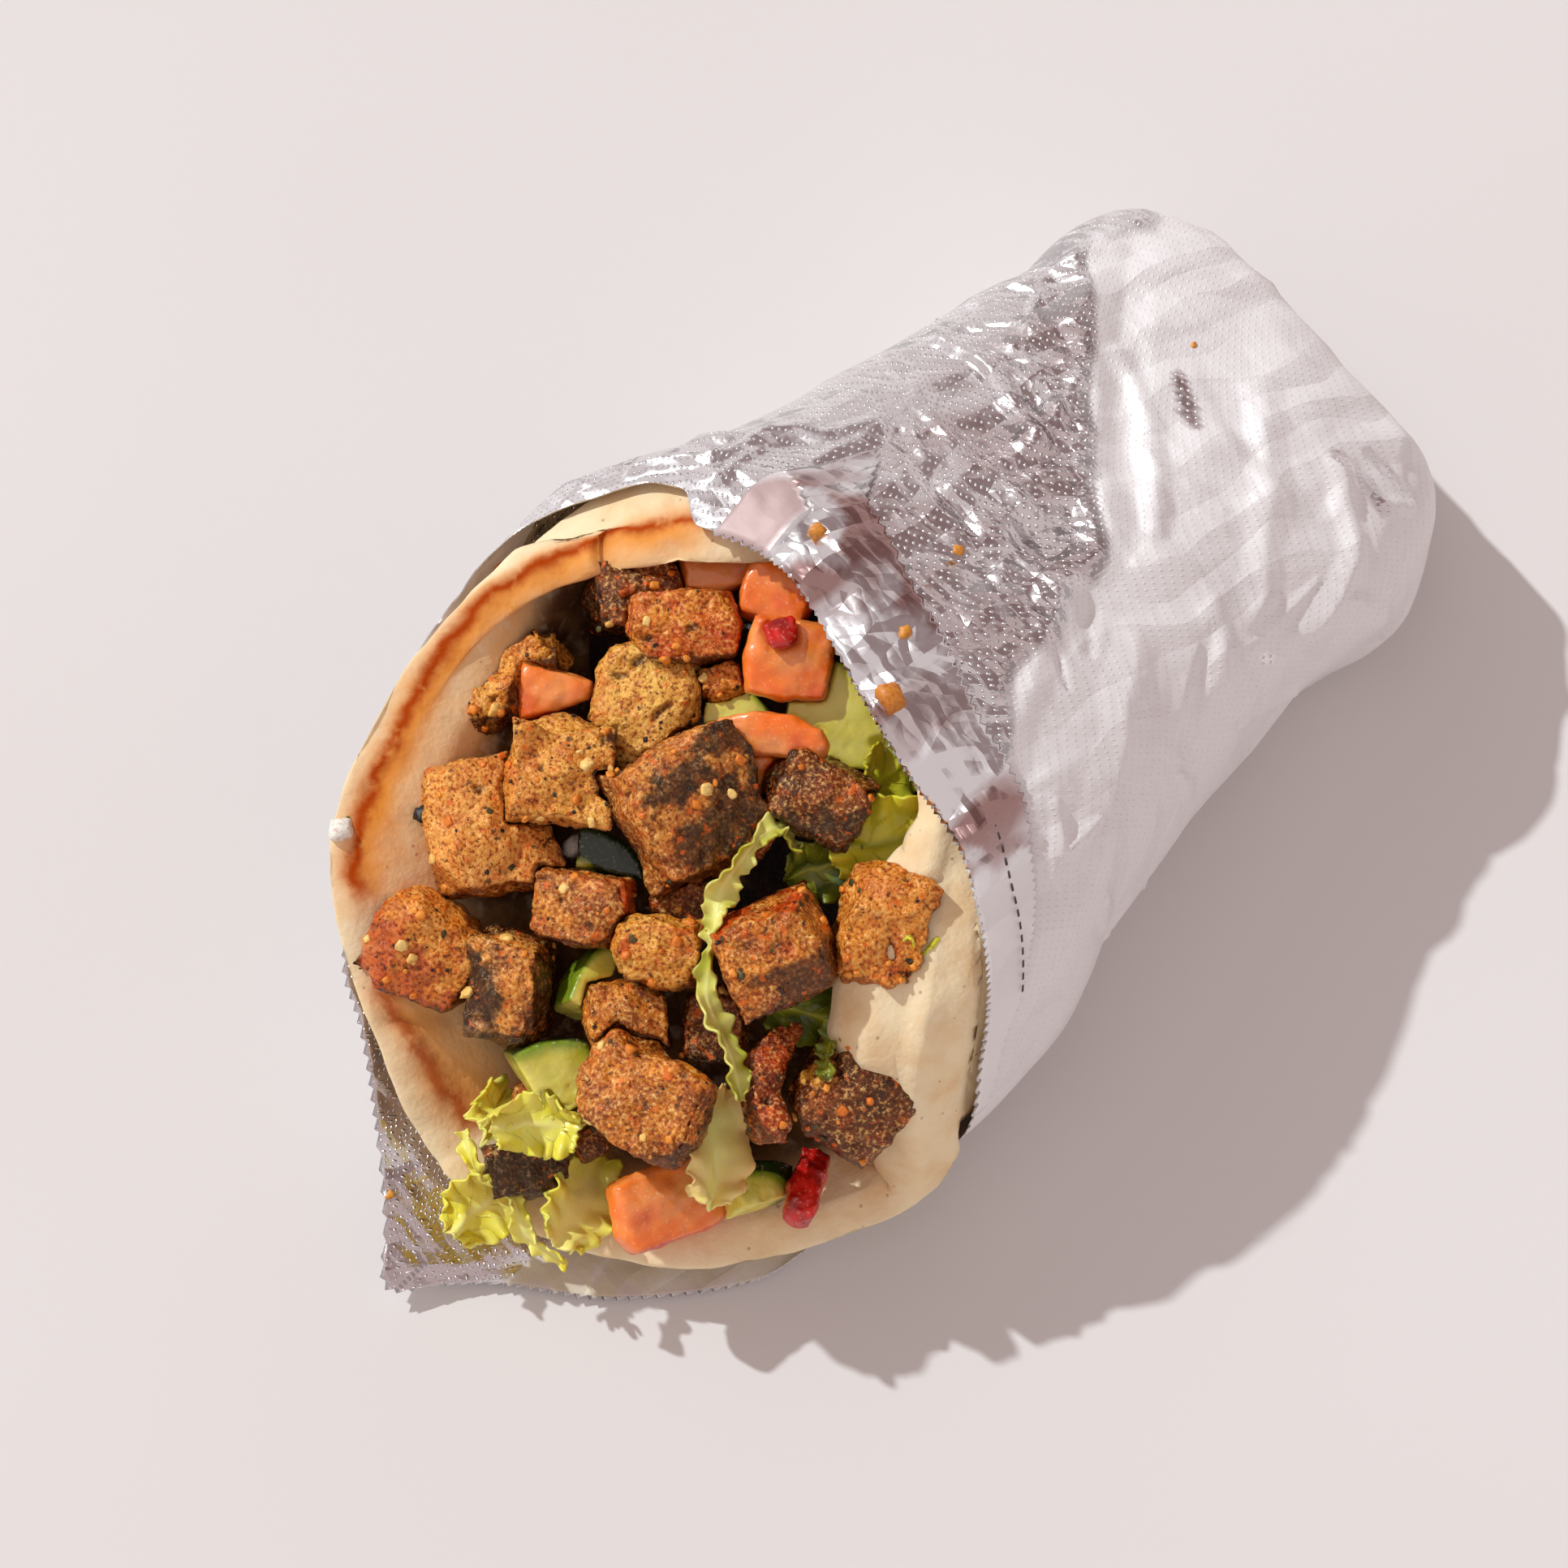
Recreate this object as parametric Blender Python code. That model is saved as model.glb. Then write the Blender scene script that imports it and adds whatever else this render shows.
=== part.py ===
"""A gyro wrap lying on its side: a pita rolled round its filling and wrapped in embossed foil.

The wrap lies along Y with its slanted mouth toward -Y and up, and rests on its flattened underside.
Every size below is in millimetres; mesh() turns them into metres.
"""

import math
from collections import namedtuple

import bmesh
import bpy
import numpy as np
from mathutils import Euler, Matrix, Vector, noise
from mathutils.bvhtree import BVHTree

MM = 0.001
PARTS, CUTTERS = "gyro_wrap", "cutters"  # the collections

# ---- driving dimensions -------------------------------------------------------------------------

BODY_SHIFT = (-1.6, -11.2)  # from the mouth's own middle to the middle of the part's box

FOIL_THICK = 0.5
FOIL_TO_PITA = 0.6
PITA_THICK = 6.0
PITA_TO_CORE = 0.5
LIP_HEIGHT = 1.6  # how far the rim of the bread is rounded up
PIECE_GAP = 0.35  # kept free between two solids that lie on each other
MOST_SWELL = 1.6  # most that a sharp corner is pushed out, in gaps, where a piece is grown by the gap
WELD = 0.02  # corners nearer than this are one
FLAT_ANGLE = 7.0  # faces that meet at less than this are flat enough to be one
SHARP_ANGLE = 40.0  # edges that turn more than this aren't shaded smooth
FLAP_ANGLES = (78, 138)  # where the bread is folded in over the filling
FLAP_WIDTH = 8.0
COLLAR_ANGLES = (88, 205)
COLLAR_WIDTH = 18.0
COLLAR_TAPER = 0.62
COLLAR_GAP = 0.4
SMALL_CHUNK = 17.2  # chunks up to this size have fewer facets
LEAF_THICK = 1.0
LEAF_UNEVEN = 1.4
STRAND_THICK = 1.0
HEAP_RISE = 9.0  # how far the heap under the pieces bulges at its middle
HEAP_SHARES = (0.84, 0.68, 0.52, 0.36, 0.2, 0.07)  # the heap's rows, from its edge to its middle
HEAP_ROWS_DOWN = 3  # rows from the rim of the bread down to the edge of the heap
HEAP_CLEAR = 5.5  # how far beside a point a piece still pushes the heap down
HEAP_GAP = 0.75  # kept free between the heap and the pieces that lie on it
BELOW = -5.0  # a height under the whole wrap
MEAT_ROUGHNESS = 0.28
MEAT_SQUARE, MEAT_ROUND = 5.5, 3.2  # how blocky a chunk of meat is
ROUND_MEAT = (6, 9, 23, 24)
CURLED_MEAT, CURLED_BEND = 17, 1.1
BENT_TOMATO, TOMATO_BEND = 1, 0.55
POINTED_TOMATO, TOMATO_TAPER = 3, 0.75
SLICE_SHARE = 0.5  # the part of a whole round that a cut of cucumber is
TOP_TOMATOES, TOP_MEATS = 3, 13  # so many of each lie over the leaves, and the rest under them

COLUMNS = 32  # facets round the wrap
ROW_STEPS = (1, 1, 1, 1, 1, 1, 1, 2, 2)  # rows from each section to the next
TAIL_START = 82  # from here on the skins are also inset lengthwise
MOUTH_BLEND = 0.42  # where along the wrap the sections start to lean toward the mouth's edge

# One cross-section: a flattened superellipse. slant moves its top back and its bottom forward.
Section = namedtuple("Section", "y slant middle half_width low high squareness")
SECTIONS = (
    Section(115, 0, 0.5, 4, 15, 21, 2.0),
    Section(113.5, 0, 0.5, 27.5, 6, 31, 2.4),
    Section(106, 0, 0, 37, 0, 37, 2.6),
    Section(93, 0, 0.5, 40.5, -2, 41.5, 2.7),
    Section(72, 1, 0, 41, -2, 46.5, 2.7),
    Section(50, 3, -0.5, 43.5, -2, 51.5, 2.7),
    Section(36, 8, -0.5, 45.5, -2, 55, 2.6),
    Section(17, 18, -1.5, 48.5, -2, 57.5, 2.6),
    Section(-6, 32, -3, 52.5, -2, 60, 2.6),
    Section(-30, 46, -2.5, 51.5, -2, 60, 2.6),
)

# The two edges of the mouth: angle round the wrap (0 below, 90 at +X, 180 on top), then x, y, z.
FOIL_EDGE = (
    (5, 18, -87, 2.5),
    (12, 24, -80, 1.5),
    (28, 37, -69, 1.5),
    (46, 49, -52.5, 2),
    (60, 52, -42, 4),
    (70, 54, -29, 7),
    (79, 56.5, -17, 13),
    (87, 57.5, -13.5, 23),
    (96, 54, -9, 34),
    (105, 51, -5, 41),
    (120, 46, -0.5, 46.5),
    (132, 40, 3, 51),
    (146, 31, 7, 55.5),
    (160, 18.5, 8, 59.5),
    (176, 5, 11, 61.5),
    (191, -16, 16, 61),
    (206, -30, 13, 57),
    (222, -38, 8, 54.5),
    (232, -45, 3, 51),
    (250, -54, -13, 43.5),
    (272, -53, -29, 40),
    (290, -45, -49, 38),
    (315, -32, -65, 32),
    (332, -17, -72, 21),
    (345, -5, -80, 10),
    (352, 5, -87.5, 6),
    (358, 12.6, -94, 4),
)
PITA_RIM = (
    (0, 9, -76, 10),
    (12, 18, -74, 8),
    (28, 32, -67, 8.5),
    (45, 44, -57.5, 10),
    (58, 53, -43, 10),
    (68, 57.5, -33, 11),
    (76, 59.5, -26, 12.5),
    (84, 57, -23, 20),
    (92, 54, -22, 31),
    (104, 48.5, -16, 42.5),
    (118, 42, -8, 47.5),
    (135, 34, 2, 51),
    (150, 24, 14, 54),
    (180, -4, 25, 56.5),
    (205, -27, 17, 55.5),
    (222, -41.5, 4.5, 51),
    (240, -49.5, -14, 48.5),
    (262, -48, -35, 45.5),
    (285, -38.5, -57, 41),
    (305, -26, -67, 33),
    (320, -13, -72, 24.5),
    (335, -3, -75, 16),
    (350, 4, -76, 11.5),
)


# ---- the filling's pieces -----------------------------------------------------------------------

# Every piece: middle, size along its own axes, then tilt about X, tilt about Y and turn about Z in
# degrees. Pieces higher in the heap come first, and a later piece is cut back where it meets them.
Piece = namedtuple("Piece", "middle size tilt")

MEAT = (
    Piece((-2.2, -17.2, 47), (21, 21, 17), (20, 8, 77)),
    Piece((-20.2, -27.5, 44), (17, 17, 16), (18, 6, 45)),
    Piece((23.3, -23.1, 46), (17, 16, 17), (28, -14, 67)),
    Piece((31.3, -8.6, 46), (14, 18, 13), (22, 14, 37)),
    Piece((10.3, -2.1, 48), (16, 13, 13), (20, 10, 22)),
    Piece((10.3, -34.8, 42), (15, 12, 11), (30, 0, 42)),
    Piece((-3.4, -38.0, 39), (17, 12, 11), (24, -10, 37)),
    Piece((-23.8, -39.7, 36), (19, 22, 18), (15, 20, 67)),
    Piece((-17.3, -58.8, 31), (21, 16, 15), (30, 12, 22)),
    Piece((-3.2, -53.1, 31), (13, 17, 15), (25, -12, 37)),
    Piece((24.9, -50.1, 35), (20, 16, 12), (22, -4, 17)),
    Piece((-19.2, -11.4, 46), (16, 19, 8), (16, 0, 37)),
    Piece((-22.9, 1.2, 50), (17, 12, 11), (14, 0, 52)),
    Piece((12.4, -43.1, 33), (13, 12, 12), (20, 0, 52)),
    Piece((44.1, -25.5, 31), (17, 18, 15), (20, 25, 17)),
    Piece((-38.6, -22.5, 35), (22, 9, 12), (0, -10, 85)),
    Piece((35.4, -34.9, 35), (19, 6, 8), (15, 10, 132)),
    Piece((-34.6, -0.1, 43), (15, 12, 12), (10, 10, 57)),
    Piece((-15.5, 0.7, 47), (7, 8, 7), (10, 0, 60)),
    Piece((6.0, -25.6, 38), (11, 9, 9), (20, 0, 30)),
    Piece((22.3, -34.6, 32), (10, 12, 10), (20, 0, 45)),
    Piece((16.5, -68.0, 18), (14, 9, 9), (20, 0, 57)),
    Piece((9.7, -61.0, 22), (7, 6, 5), (20, 0, 40)),
    Piece((20.8, -58.4, 22), (7, 6, 5), (20, 0, 70)),
)
TOMATO = (
    Piece((-0.8, -1.9, 51.5), (18, 7, 4.5), (22, 0, 40)),
    Piece((-8.4, 8.7, 52), (14, 14, 5), (20, 8, 43)),
    Piece((-31.5, -18.0, 41), (13, 11, 5), (20, 0, 47)),
    Piece((1.1, -5.3, 47), (11, 9, 5), (40, 0, 60)),
    Piece((-18.0, 15.4, 50), (12, 12, 6), (10, 0, 30)),
    Piece((-29.0, 12.8, 46), (12, 10, 6), (10, 0, 50)),
    Piece((35.1, -55.6, 19), (20, 13, 7), (25, 15, 75)),
)
PEPPER = (
    Piece((-11.1, 9.7, 56), (5.5, 4.5, 2.5), (20, 8, 70)),
    Piece((47.8, -39.3, 20), (14, 5, 5), (10, 20, 125)),
)
CUCUMBER = (
    Piece((9.8, -54.1, 28), (15, 13, 10), (25, 0, 80)),
    Piece((41.6, -43.2, 18), (14, 8, 7), (10, 30, 75)),
    Piece((2.8, -43.5, 32), (13, 6, 9), (25, 0, 120)),
    Piece((2.7, 12.4, 46), (22, 18, 5), (22, 5, 40)),
    Piece((-9.5, 0.2, 44), (12, 9, 6), (15, 0, 40)),
    Piece((-7.8, -28.2, 36), (11, 8, 7), (15, 0, 40)),
)
LEAVES = (
    Piece((21.5, 1.7, 45), (18, 15, 3.0), (25, 5, 57)),
    Piece((17.7, -7.2, 43), (13, 10, 2.5), (30, -10, 60)),
    Piece((32.5, -1.5, 43), (22, 9, 2.5), (15, 30, 125)),
    Piece((13.3, 10.1, 44), (12, 10, 2.5), (25, 10, 90)),
    Piece((14.4, -63.7, 27), (14, 10, 3.0), (35, 0, 45)),
    Piece((7.5, -67.2, 22), (15, 7, 2.5), (30, 40, 125)),
    Piece((14.6, -76.0, 12), (14, 12, 3.0), (30, 0, 90)),
    Piece((25.3, -65.2, 16), (17, 13, 2.5), (35, 10, 110)),
    Piece((35.7, -46.8, 30), (19, 12, 2.5), (35, -10, 130)),
    Piece((31.5, -23.0, 35), (14, 10, 2.5), (25, 0, 30)),
)
STRANDS = (
    (
        (13.9, -9.6, 46.5),
        (9.8, -10.8, 51),
        (10.6, -18.1, 52),
        (12.4, -24.2, 50.5),
        (16.1, -29.1, 49),
        (21.0, -34.6, 43.5),
        (29.1, -37.4, 41),
        (35.1, -40.4, 37.5),
    ),
    (
        (6.2, -71.6, 21),
        (12.7, -74.5, 20),
        (18.0, -72.7, 18),
        (23.5, -74.5, 14),
        (30.3, -72.4, 11),
    ),
    (
        (41.6, -14.3, 42),
        (38.5, -19.0, 41),
        (36.8, -23.0, 39),
        (38.5, -26.5, 38.5),
        (41.5, -29.5, 39.5),
    ),
)
STRAND_WIDTH = (4.2, 2.6, 3.4)


# ---- curves and rows ----------------------------------------------------------------------------


def spline(before, start, end, after, t):
    """The Catmull-Rom curve from start to end, at t from 0 to 1."""
    pull = end - before
    bend = 2 * before - 5 * start + 4 * end - after
    twist = 3 * start - before - 3 * end + after
    return 0.5 * (2 * start + pull * t + bend * t**2 + twist * t**3)


def sections_along(row_steps=ROW_STEPS):
    """The sections, with more put in between them by these numbers of steps."""
    keys = np.array(SECTIONS, float)
    last = len(keys) - 1
    rows = []
    for index, steps in enumerate(row_steps):
        near = [keys[max(index - 1, 0)], keys[index], keys[index + 1], keys[min(index + 2, last)]]
        rows += [spline(*near, step / steps) for step in range(steps)]
    return [Section(*row) for row in rows + [keys[last]]]


def angles(columns=COLUMNS):
    return np.radians(np.arange(columns) * 360.0 / columns)


def signed_power(value, power):
    return np.sign(value) * np.abs(value) ** power


def section_points(section, inset, columns=COLUMNS):
    """Points round a section that is inset by this much, from the bottom toward +X."""
    power = 2 / section.squareness
    side = signed_power(np.sin(angles(columns)), power)
    drop = signed_power(np.cos(angles(columns)), power)
    half_width = max(section.half_width - inset, 0.6)
    half_height = max((section.high - section.low) / 2 - inset, 0.6)
    x = section.middle + half_width * side
    tail = min(max((section.y - TAIL_START) / (SECTIONS[2].y - TAIL_START), 0), 1)
    y = section.y - inset * tail - section.slant * np.cos(angles(columns))
    z = np.maximum((section.low + section.high) / 2 - half_height * drop, inset)
    return np.stack([x, y, z], axis=1)


def edge_points(keys, columns=COLUMNS):
    """A closed edge through keys of angle, x, y, z, at the columns' angles."""
    keys = np.array(keys, float)
    wanted = np.degrees(angles(columns))
    turns = np.concatenate([keys[-2:, 0] - 360, keys[:, 0], keys[:2, 0] + 360])
    places = np.concatenate([keys[-2:, 1:], keys[:, 1:], keys[:2, 1:]])
    points = []
    for angle in wanted:
        index = int(np.searchsorted(turns, angle, side="right")) - 1
        t = (angle - turns[index]) / (turns[index + 1] - turns[index])
        points.append(spline(*places[index - 1 : index + 3], t))
    return np.array(points)


def bump(angle, start, end):
    """0 outside start to end, in degrees, and smoothly up to 1 between them."""
    share = np.clip((angle - start) / (end - start), 0, 1)
    return np.sin(share * math.pi) ** 0.5


def inward(edge, distance):
    """The edge moved toward the middle of the mouth, square to its own run."""
    run = np.roll(edge, -1, axis=0) - np.roll(edge, 1, axis=0)
    mouth = edge.mean(axis=0)
    across = mouth - edge
    across -= run * ((across * run).sum(axis=1) / (run * run).sum(axis=1))[:, None]
    across /= np.linalg.norm(across, axis=1)[:, None]
    return edge + across * np.reshape(distance, (-1, 1))


def leaning_rows(inset, edge):
    """Rows from the tail to the mouth: inset sections that lean over until the last one is the edge."""
    rows = [section_points(section, inset) for section in sections_along()]
    lean = edge - rows[-1]
    for index, row in enumerate(rows):
        part = max(0.0, (index / (len(rows) - 1) - MOUTH_BLEND) / (1 - MOUTH_BLEND))
        row += lean * part**2 * (3 - 2 * part)
    return rows


# ---- meshes -------------------------------------------------------------------------------------


def material(name, colour, roughness, metallic=0.0):
    made = bpy.data.materials.new(name)
    made.use_nodes = True
    shader = made.node_tree.nodes["Principled BSDF"]
    shader.inputs["Base Color"].default_value = (*colour, 1)
    shader.inputs["Roughness"].default_value = roughness
    shader.inputs["Metallic"].default_value = metallic
    made.diffuse_color = (*colour, 1)
    return made


def add_object(name, mesh_data, finish, parent):
    made = bpy.data.objects.new(name, mesh_data)
    made.data.materials.append(finish)
    made.parent = parent
    bpy.data.collections[PARTS].objects.link(made)
    return made


def mesh_of(name, shape):
    """A mesh in metres from a bmesh in millimetres, facing out."""
    bmesh.ops.triangulate(shape, faces=shape.faces)
    bmesh.ops.recalc_face_normals(shape, faces=shape.faces)
    if shape.calc_volume(signed=True) < 0:
        bmesh.ops.reverse_faces(shape, faces=shape.faces)
    bmesh.ops.scale(shape, vec=(MM, MM, MM), verts=shape.verts)
    data = bpy.data.meshes.new(name)
    shape.to_mesh(data)
    shape.free()
    data.shade_smooth()
    data.set_sharp_from_angle(angle=math.radians(SHARP_ANGLE))
    return data


def loft(rows, start=None, end=None):
    """A closed skin over rows of equal length, with a fan to the start and end points if given."""
    shape = bmesh.new()
    rings = [[shape.verts.new(point) for point in row] for row in rows]
    pairs = list(zip(rings, rings[1:]))
    if start is None:
        pairs.append((rings[-1], rings[0]))
    for here, there in pairs:
        for index in range(len(here)):
            after = (index + 1) % len(here)
            shape.faces.new((here[index], here[after], there[after], there[index]))
    for ring, tip in ((rings[0], start), (rings[-1], end)):
        if tip is not None:
            top = shape.verts.new(tip)
            for index in range(len(ring)):
                shape.faces.new((ring[index], ring[(index + 1) % len(ring)], top))
    return shape


def tail_tip(inset):
    first = SECTIONS[0]
    return (first.middle, first.y + 0.4 - inset, (first.low + first.high) / 2)


def shell(rows_out, rows_in, lip, inset_out, inset_in):
    """A cup: an outer skin, a lip and an inner skin, closed at the tail on both sides."""
    rows = rows_out + lip + rows_in[::-1]
    return loft(rows, tail_tip(inset_out), tail_tip(inset_in))


# ---- the wrapper and the bread ------------------------------------------------------------------


def foil_rows(depth):
    """The foil's skin at this depth under its outside."""
    edge = inward(edge_points(FOIL_EDGE), depth)
    edge[:, 2] = np.maximum(edge[:, 2], depth)
    return leaning_rows(depth, edge)


def pita_rows(depth):
    """The bread's skin at this depth under its outside. Its flap is folded in over the filling."""
    inset = FOIL_THICK + FOIL_TO_PITA + depth
    flap = FLAP_WIDTH * bump(np.degrees(angles()), *FLAP_ANGLES) * depth / PITA_THICK
    edge = inward(edge_points(PITA_RIM), depth + flap)
    return leaning_rows(inset, edge)


def back_along(line, distance):
    """The point at this distance along a line of points."""
    for here, there in zip(line, line[1:]):
        length = np.linalg.norm(there - here)
        if distance <= length:
            return here + (there - here) * distance / length
        distance -= length
    return line[-1]


def collar_shape():
    """The foil's cut edge turned back over the wrap, in a band that narrows to nothing at +X."""
    under, over = foil_rows(-COLLAR_GAP), foil_rows(-COLLAR_GAP - FOIL_THICK)
    first, last = (round(angle * COLUMNS / 360) for angle in COLLAR_ANGLES)
    rows = []
    for column in range(first, last + 1):
        width = COLLAR_WIDTH * ((column - first + 1) / (last - first + 1)) ** COLLAR_TAPER
        ring = []
        for skin, shares in ((under, (0, 0.33, 0.67, 1)), (over, (1, 0.67, 0.33, 0))):
            line = [row[column] for row in skin[::-1]]
            ring += [back_along(line, share * width) for share in shares]
        rows.append(ring)
    tips = [np.mean(rows[0], axis=0), np.mean(rows[-1], axis=0)]
    return loft(rows, *tips)


def inside_of(rows, skin, gap):
    """The rows, with each point that comes nearer to the skin than the gap pushed in again."""
    columns = len(skin[0])
    points = [Vector(point) for row in skin for point in row]
    quads = []
    for row in range(len(skin) - 1):
        for index in range(columns):
            after = (index + 1) % columns
            here, there = row * columns, (row + 1) * columns
            quads.append((here + index, here + after, there + after, there + index))
    tree = BVHTree.FromPolygons(points, quads)
    height = np.mean(skin[-1], axis=0)[2]
    for row in rows:
        for point in row:
            nearest, normal, _, _ = tree.find_nearest(Vector(point))
            inside = Vector((nearest.x * 0.3, min(nearest.y, TAIL_START), height))
            if normal.dot(nearest - inside) < 0:
                normal.negate()
            away = Vector(point) - nearest
            out = away.dot(normal)
            if away.length < max(gap, 1.3 * out):
                point[:] = nearest - normal * gap
    return rows


def foil_shell():
    return shell(foil_rows(0), foil_rows(FOIL_THICK), [], 0, FOIL_THICK)


def pita_shell():
    outside, inside = pita_rows(0), pita_rows(PITA_THICK)
    outside = inside_of(outside, foil_rows(FOIL_THICK), 3 * FOIL_TO_PITA)
    rise = outside[-1] - outside[-2] + inside[-1] - inside[-2]
    rise /= np.linalg.norm(rise, axis=1)[:, None]
    lip = [(outside[-1] + inside[-1]) / 2 + rise * LIP_HEIGHT]
    inset = FOIL_THICK + FOIL_TO_PITA
    return shell(outside, inside, lip, inset, inset + PITA_THICK)


def chunk(size, squareness, roughness, seed, taper=0.0, bend=0.0):
    """A rounded, uneven block. taper narrows one end, and bend curves it sideways."""
    shape = bmesh.new()
    bmesh.ops.create_cube(shape, size=2)
    cuts = 2 if max(size) > SMALL_CHUNK else 1
    bmesh.ops.subdivide_edges(shape, edges=shape.edges, cuts=cuts, use_grid_fill=True)
    for vert in shape.verts:
        power = sum(abs(part) ** squareness for part in vert.co) ** (1 / squareness)
        vert.co /= power
        lump = noise.noise(vert.co * 1.4 + Vector((seed * 7.3, seed * 3.1, 0)))
        vert.co *= 1 + roughness * lump
        vert.co.y *= 1 - taper * (vert.co.x + 1) / 2
        vert.co.y += bend * (0.5 - vert.co.x**2)
        vert.co = Vector([part * half / 2 for part, half in zip(vert.co, size)])
    return shape


def cucumber_wedge(size, share, seed):
    """A share of a thick cucumber slice, cut through its middle."""
    shape = bmesh.new()
    bmesh.ops.create_cone(shape, cap_ends=True, segments=18, radius1=1, radius2=1, depth=2)
    for turn in (0, math.pi * (1 - share)):
        side = Vector((math.sin(turn), math.cos(turn), 0))
        everything = shape.verts[:] + shape.edges[:] + shape.faces[:]
        bmesh.ops.bisect_plane(
            shape, geom=everything, plane_co=(0, 0, 0), plane_no=-side, clear_outer=True
        )
        open_edges = [edge for edge in shape.edges if edge.is_boundary]
        bmesh.ops.holes_fill(shape, edges=open_edges)
    middle = sum((vert.co for vert in shape.verts), Vector()) / len(shape.verts)
    reach = [max(abs(vert.co[axis] - middle[axis]) for vert in shape.verts) for axis in range(3)]
    for vert in shape.verts:
        vert.co -= middle
        vert.co = Vector([vert.co[axis] / reach[axis] * size[axis] / 2 for axis in range(3)])
        vert.co.z += 0.4 * noise.noise(vert.co * 0.2 + Vector((seed, 0, 0)))
    return shape


def leaf(size, seed):
    """A ruffled, cupped piece of lettuce with an uneven outline."""
    shape = bmesh.new()
    bmesh.ops.create_grid(shape, x_segments=5, y_segments=3, size=1)
    for vert in shape.verts:
        x, y = vert.co.x, vert.co.y
        across = 1 - 0.35 * x * x
        wave = math.sin(3.1 * x + seed) * abs(y) + 0.7 * math.sin(4.3 * y + 2 * seed) * abs(x)
        vert.co = Vector((x * (1 - 0.2 * y * y) * size[0] / 2, y * across * size[1] / 2, 0))
        spots = [Vector((x, y, seed + 11 * axis)) for axis in range(3)]
        vert.co += Vector([noise.noise(spot * 1.7) for spot in spots]) * LEAF_UNEVEN
        vert.co.z = size[2] * (0.5 * wave + 0.35 * (x * x + y * y))
    bmesh.ops.recalc_face_normals(shape, faces=shape.faces)
    bmesh.ops.solidify(shape, geom=shape.faces[:], thickness=LEAF_THICK)
    return shape


def strand(path, width):
    """A strip of lettuce along a path, leaning from side to side."""
    points = [Vector(point) for point in path]
    rows = []
    for index, point in enumerate(points):
        run = points[min(index + 1, len(points) - 1)] - points[max(index - 1, 0)]
        lean = 0.6 * math.sin(index * 1.3)
        side = run.cross(Vector((lean * run.y, -lean * run.x, run.length))).normalized() * width / 2
        rise = side.cross(run).normalized() * STRAND_THICK / 2
        corners = ((-side, -rise), (side, -rise), (side, rise), (-side, rise))
        rows.append([point + across + up for across, up in corners])
    tips = [sum(row, Vector()) / 4 for row in (rows[0], rows[-1])]
    return loft(rows, *tips)


def place(made, piece):
    made.location = Vector(piece.middle) * MM
    made.rotation_euler = Euler([math.radians(angle) for angle in piece.tilt])
    return made


def world_shape(made):
    """The object's own mesh as a bmesh in its parent's frame, in metres."""
    shape = bmesh.new()
    shape.from_mesh(made.data)
    shape.transform(Matrix.LocRotScale(made.location, made.rotation_euler, None))
    return shape


def overlaps(first, second):
    return bool(BVHTree.FromBMesh(first).overlap(BVHTree.FromBMesh(second)))


def swollen(made, whole, gap):
    """A hidden copy of an object as it was when whole, grown by the gap on every side."""
    shape = bmesh.new()
    shape.from_mesh(whole)
    shape.normal_update()
    for vert, normal in [(vert, vert.normal.copy()) for vert in shape.verts]:
        vert.co += normal * gap * MM * min(vert.calc_shell_factor(), MOST_SWELL)
    data = bpy.data.meshes.new("swollen")
    shape.to_mesh(data)
    shape.free()
    copy = bpy.data.objects.new("swollen", data)
    copy.parent = made.parent
    copy.location, copy.rotation_euler = made.location, made.rotation_euler
    copy.hide_render = True
    bpy.data.collections[CUTTERS].objects.link(copy)
    return copy


def largest_part(shape):
    """Deletes all but the largest separate part of a mesh."""
    left = set(shape.verts)
    parts = []
    while left:
        found, edge_of = set(), [left.pop()]
        while edge_of:
            vert = edge_of.pop()
            found.add(vert)
            near = {edge.other_vert(vert) for edge in vert.link_edges} & left
            left -= near
            edge_of += near
        parts.append(found)
    parts.sort(key=len)
    loose = [vert for part in parts[:-1] for vert in part]
    bmesh.ops.delete(shape, geom=loose, context="VERTS")


def cut_back(made, others, wholes):
    """Cuts the object back to a gap from each of the others that it meets."""
    copies = [swollen(other, wholes[other], PIECE_GAP) for other in others]
    for copy in copies:
        cut = made.modifiers.new("clear", "BOOLEAN")
        cut.operation, cut.solver, cut.object = "DIFFERENCE", "EXACT", copy
    bpy.context.view_layer.update()
    whole = made.evaluated_get(bpy.context.evaluated_depsgraph_get())
    shape = bmesh.new()
    shape.from_mesh(whole.to_mesh())
    whole.to_mesh_clear()
    made.modifiers.clear()
    for copy in copies:
        bpy.data.objects.remove(copy, do_unlink=True)
    bmesh.ops.remove_doubles(shape, verts=shape.verts, dist=WELD * MM)
    largest_part(shape)
    bmesh.ops.dissolve_limit(
        shape, angle_limit=math.radians(FLAT_ANGLE), verts=shape.verts, edges=shape.edges
    )
    bmesh.ops.triangulate(shape, faces=shape.faces)
    shape.to_mesh(made.data)
    shape.free()


def add_pieces(name, pieces, make, finish, parent):
    """One numbered object for each piece, made by make(piece, number)."""
    made = []
    for number, piece in enumerate(pieces, 1):
        title = f"{name}_{number:02d}"
        data = mesh_of(title, make(piece, number))
        made.append(place(add_object(title, data, finish, parent), piece))
    return made


def meat_chunk(piece, number):
    bend = CURLED_BEND if number == CURLED_MEAT else 0.0
    squareness = MEAT_ROUND if number in ROUND_MEAT else MEAT_SQUARE
    return chunk(piece.size, squareness, MEAT_ROUGHNESS, number, bend=bend)


def tomato_chunk(piece, number):
    bend = TOMATO_BEND if number == BENT_TOMATO else 0.0
    taper = TOMATO_TAPER if number == POINTED_TOMATO else 0.1
    return chunk(piece.size, 5.0, 0.1, 40 + number, taper=taper, bend=bend)


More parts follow.
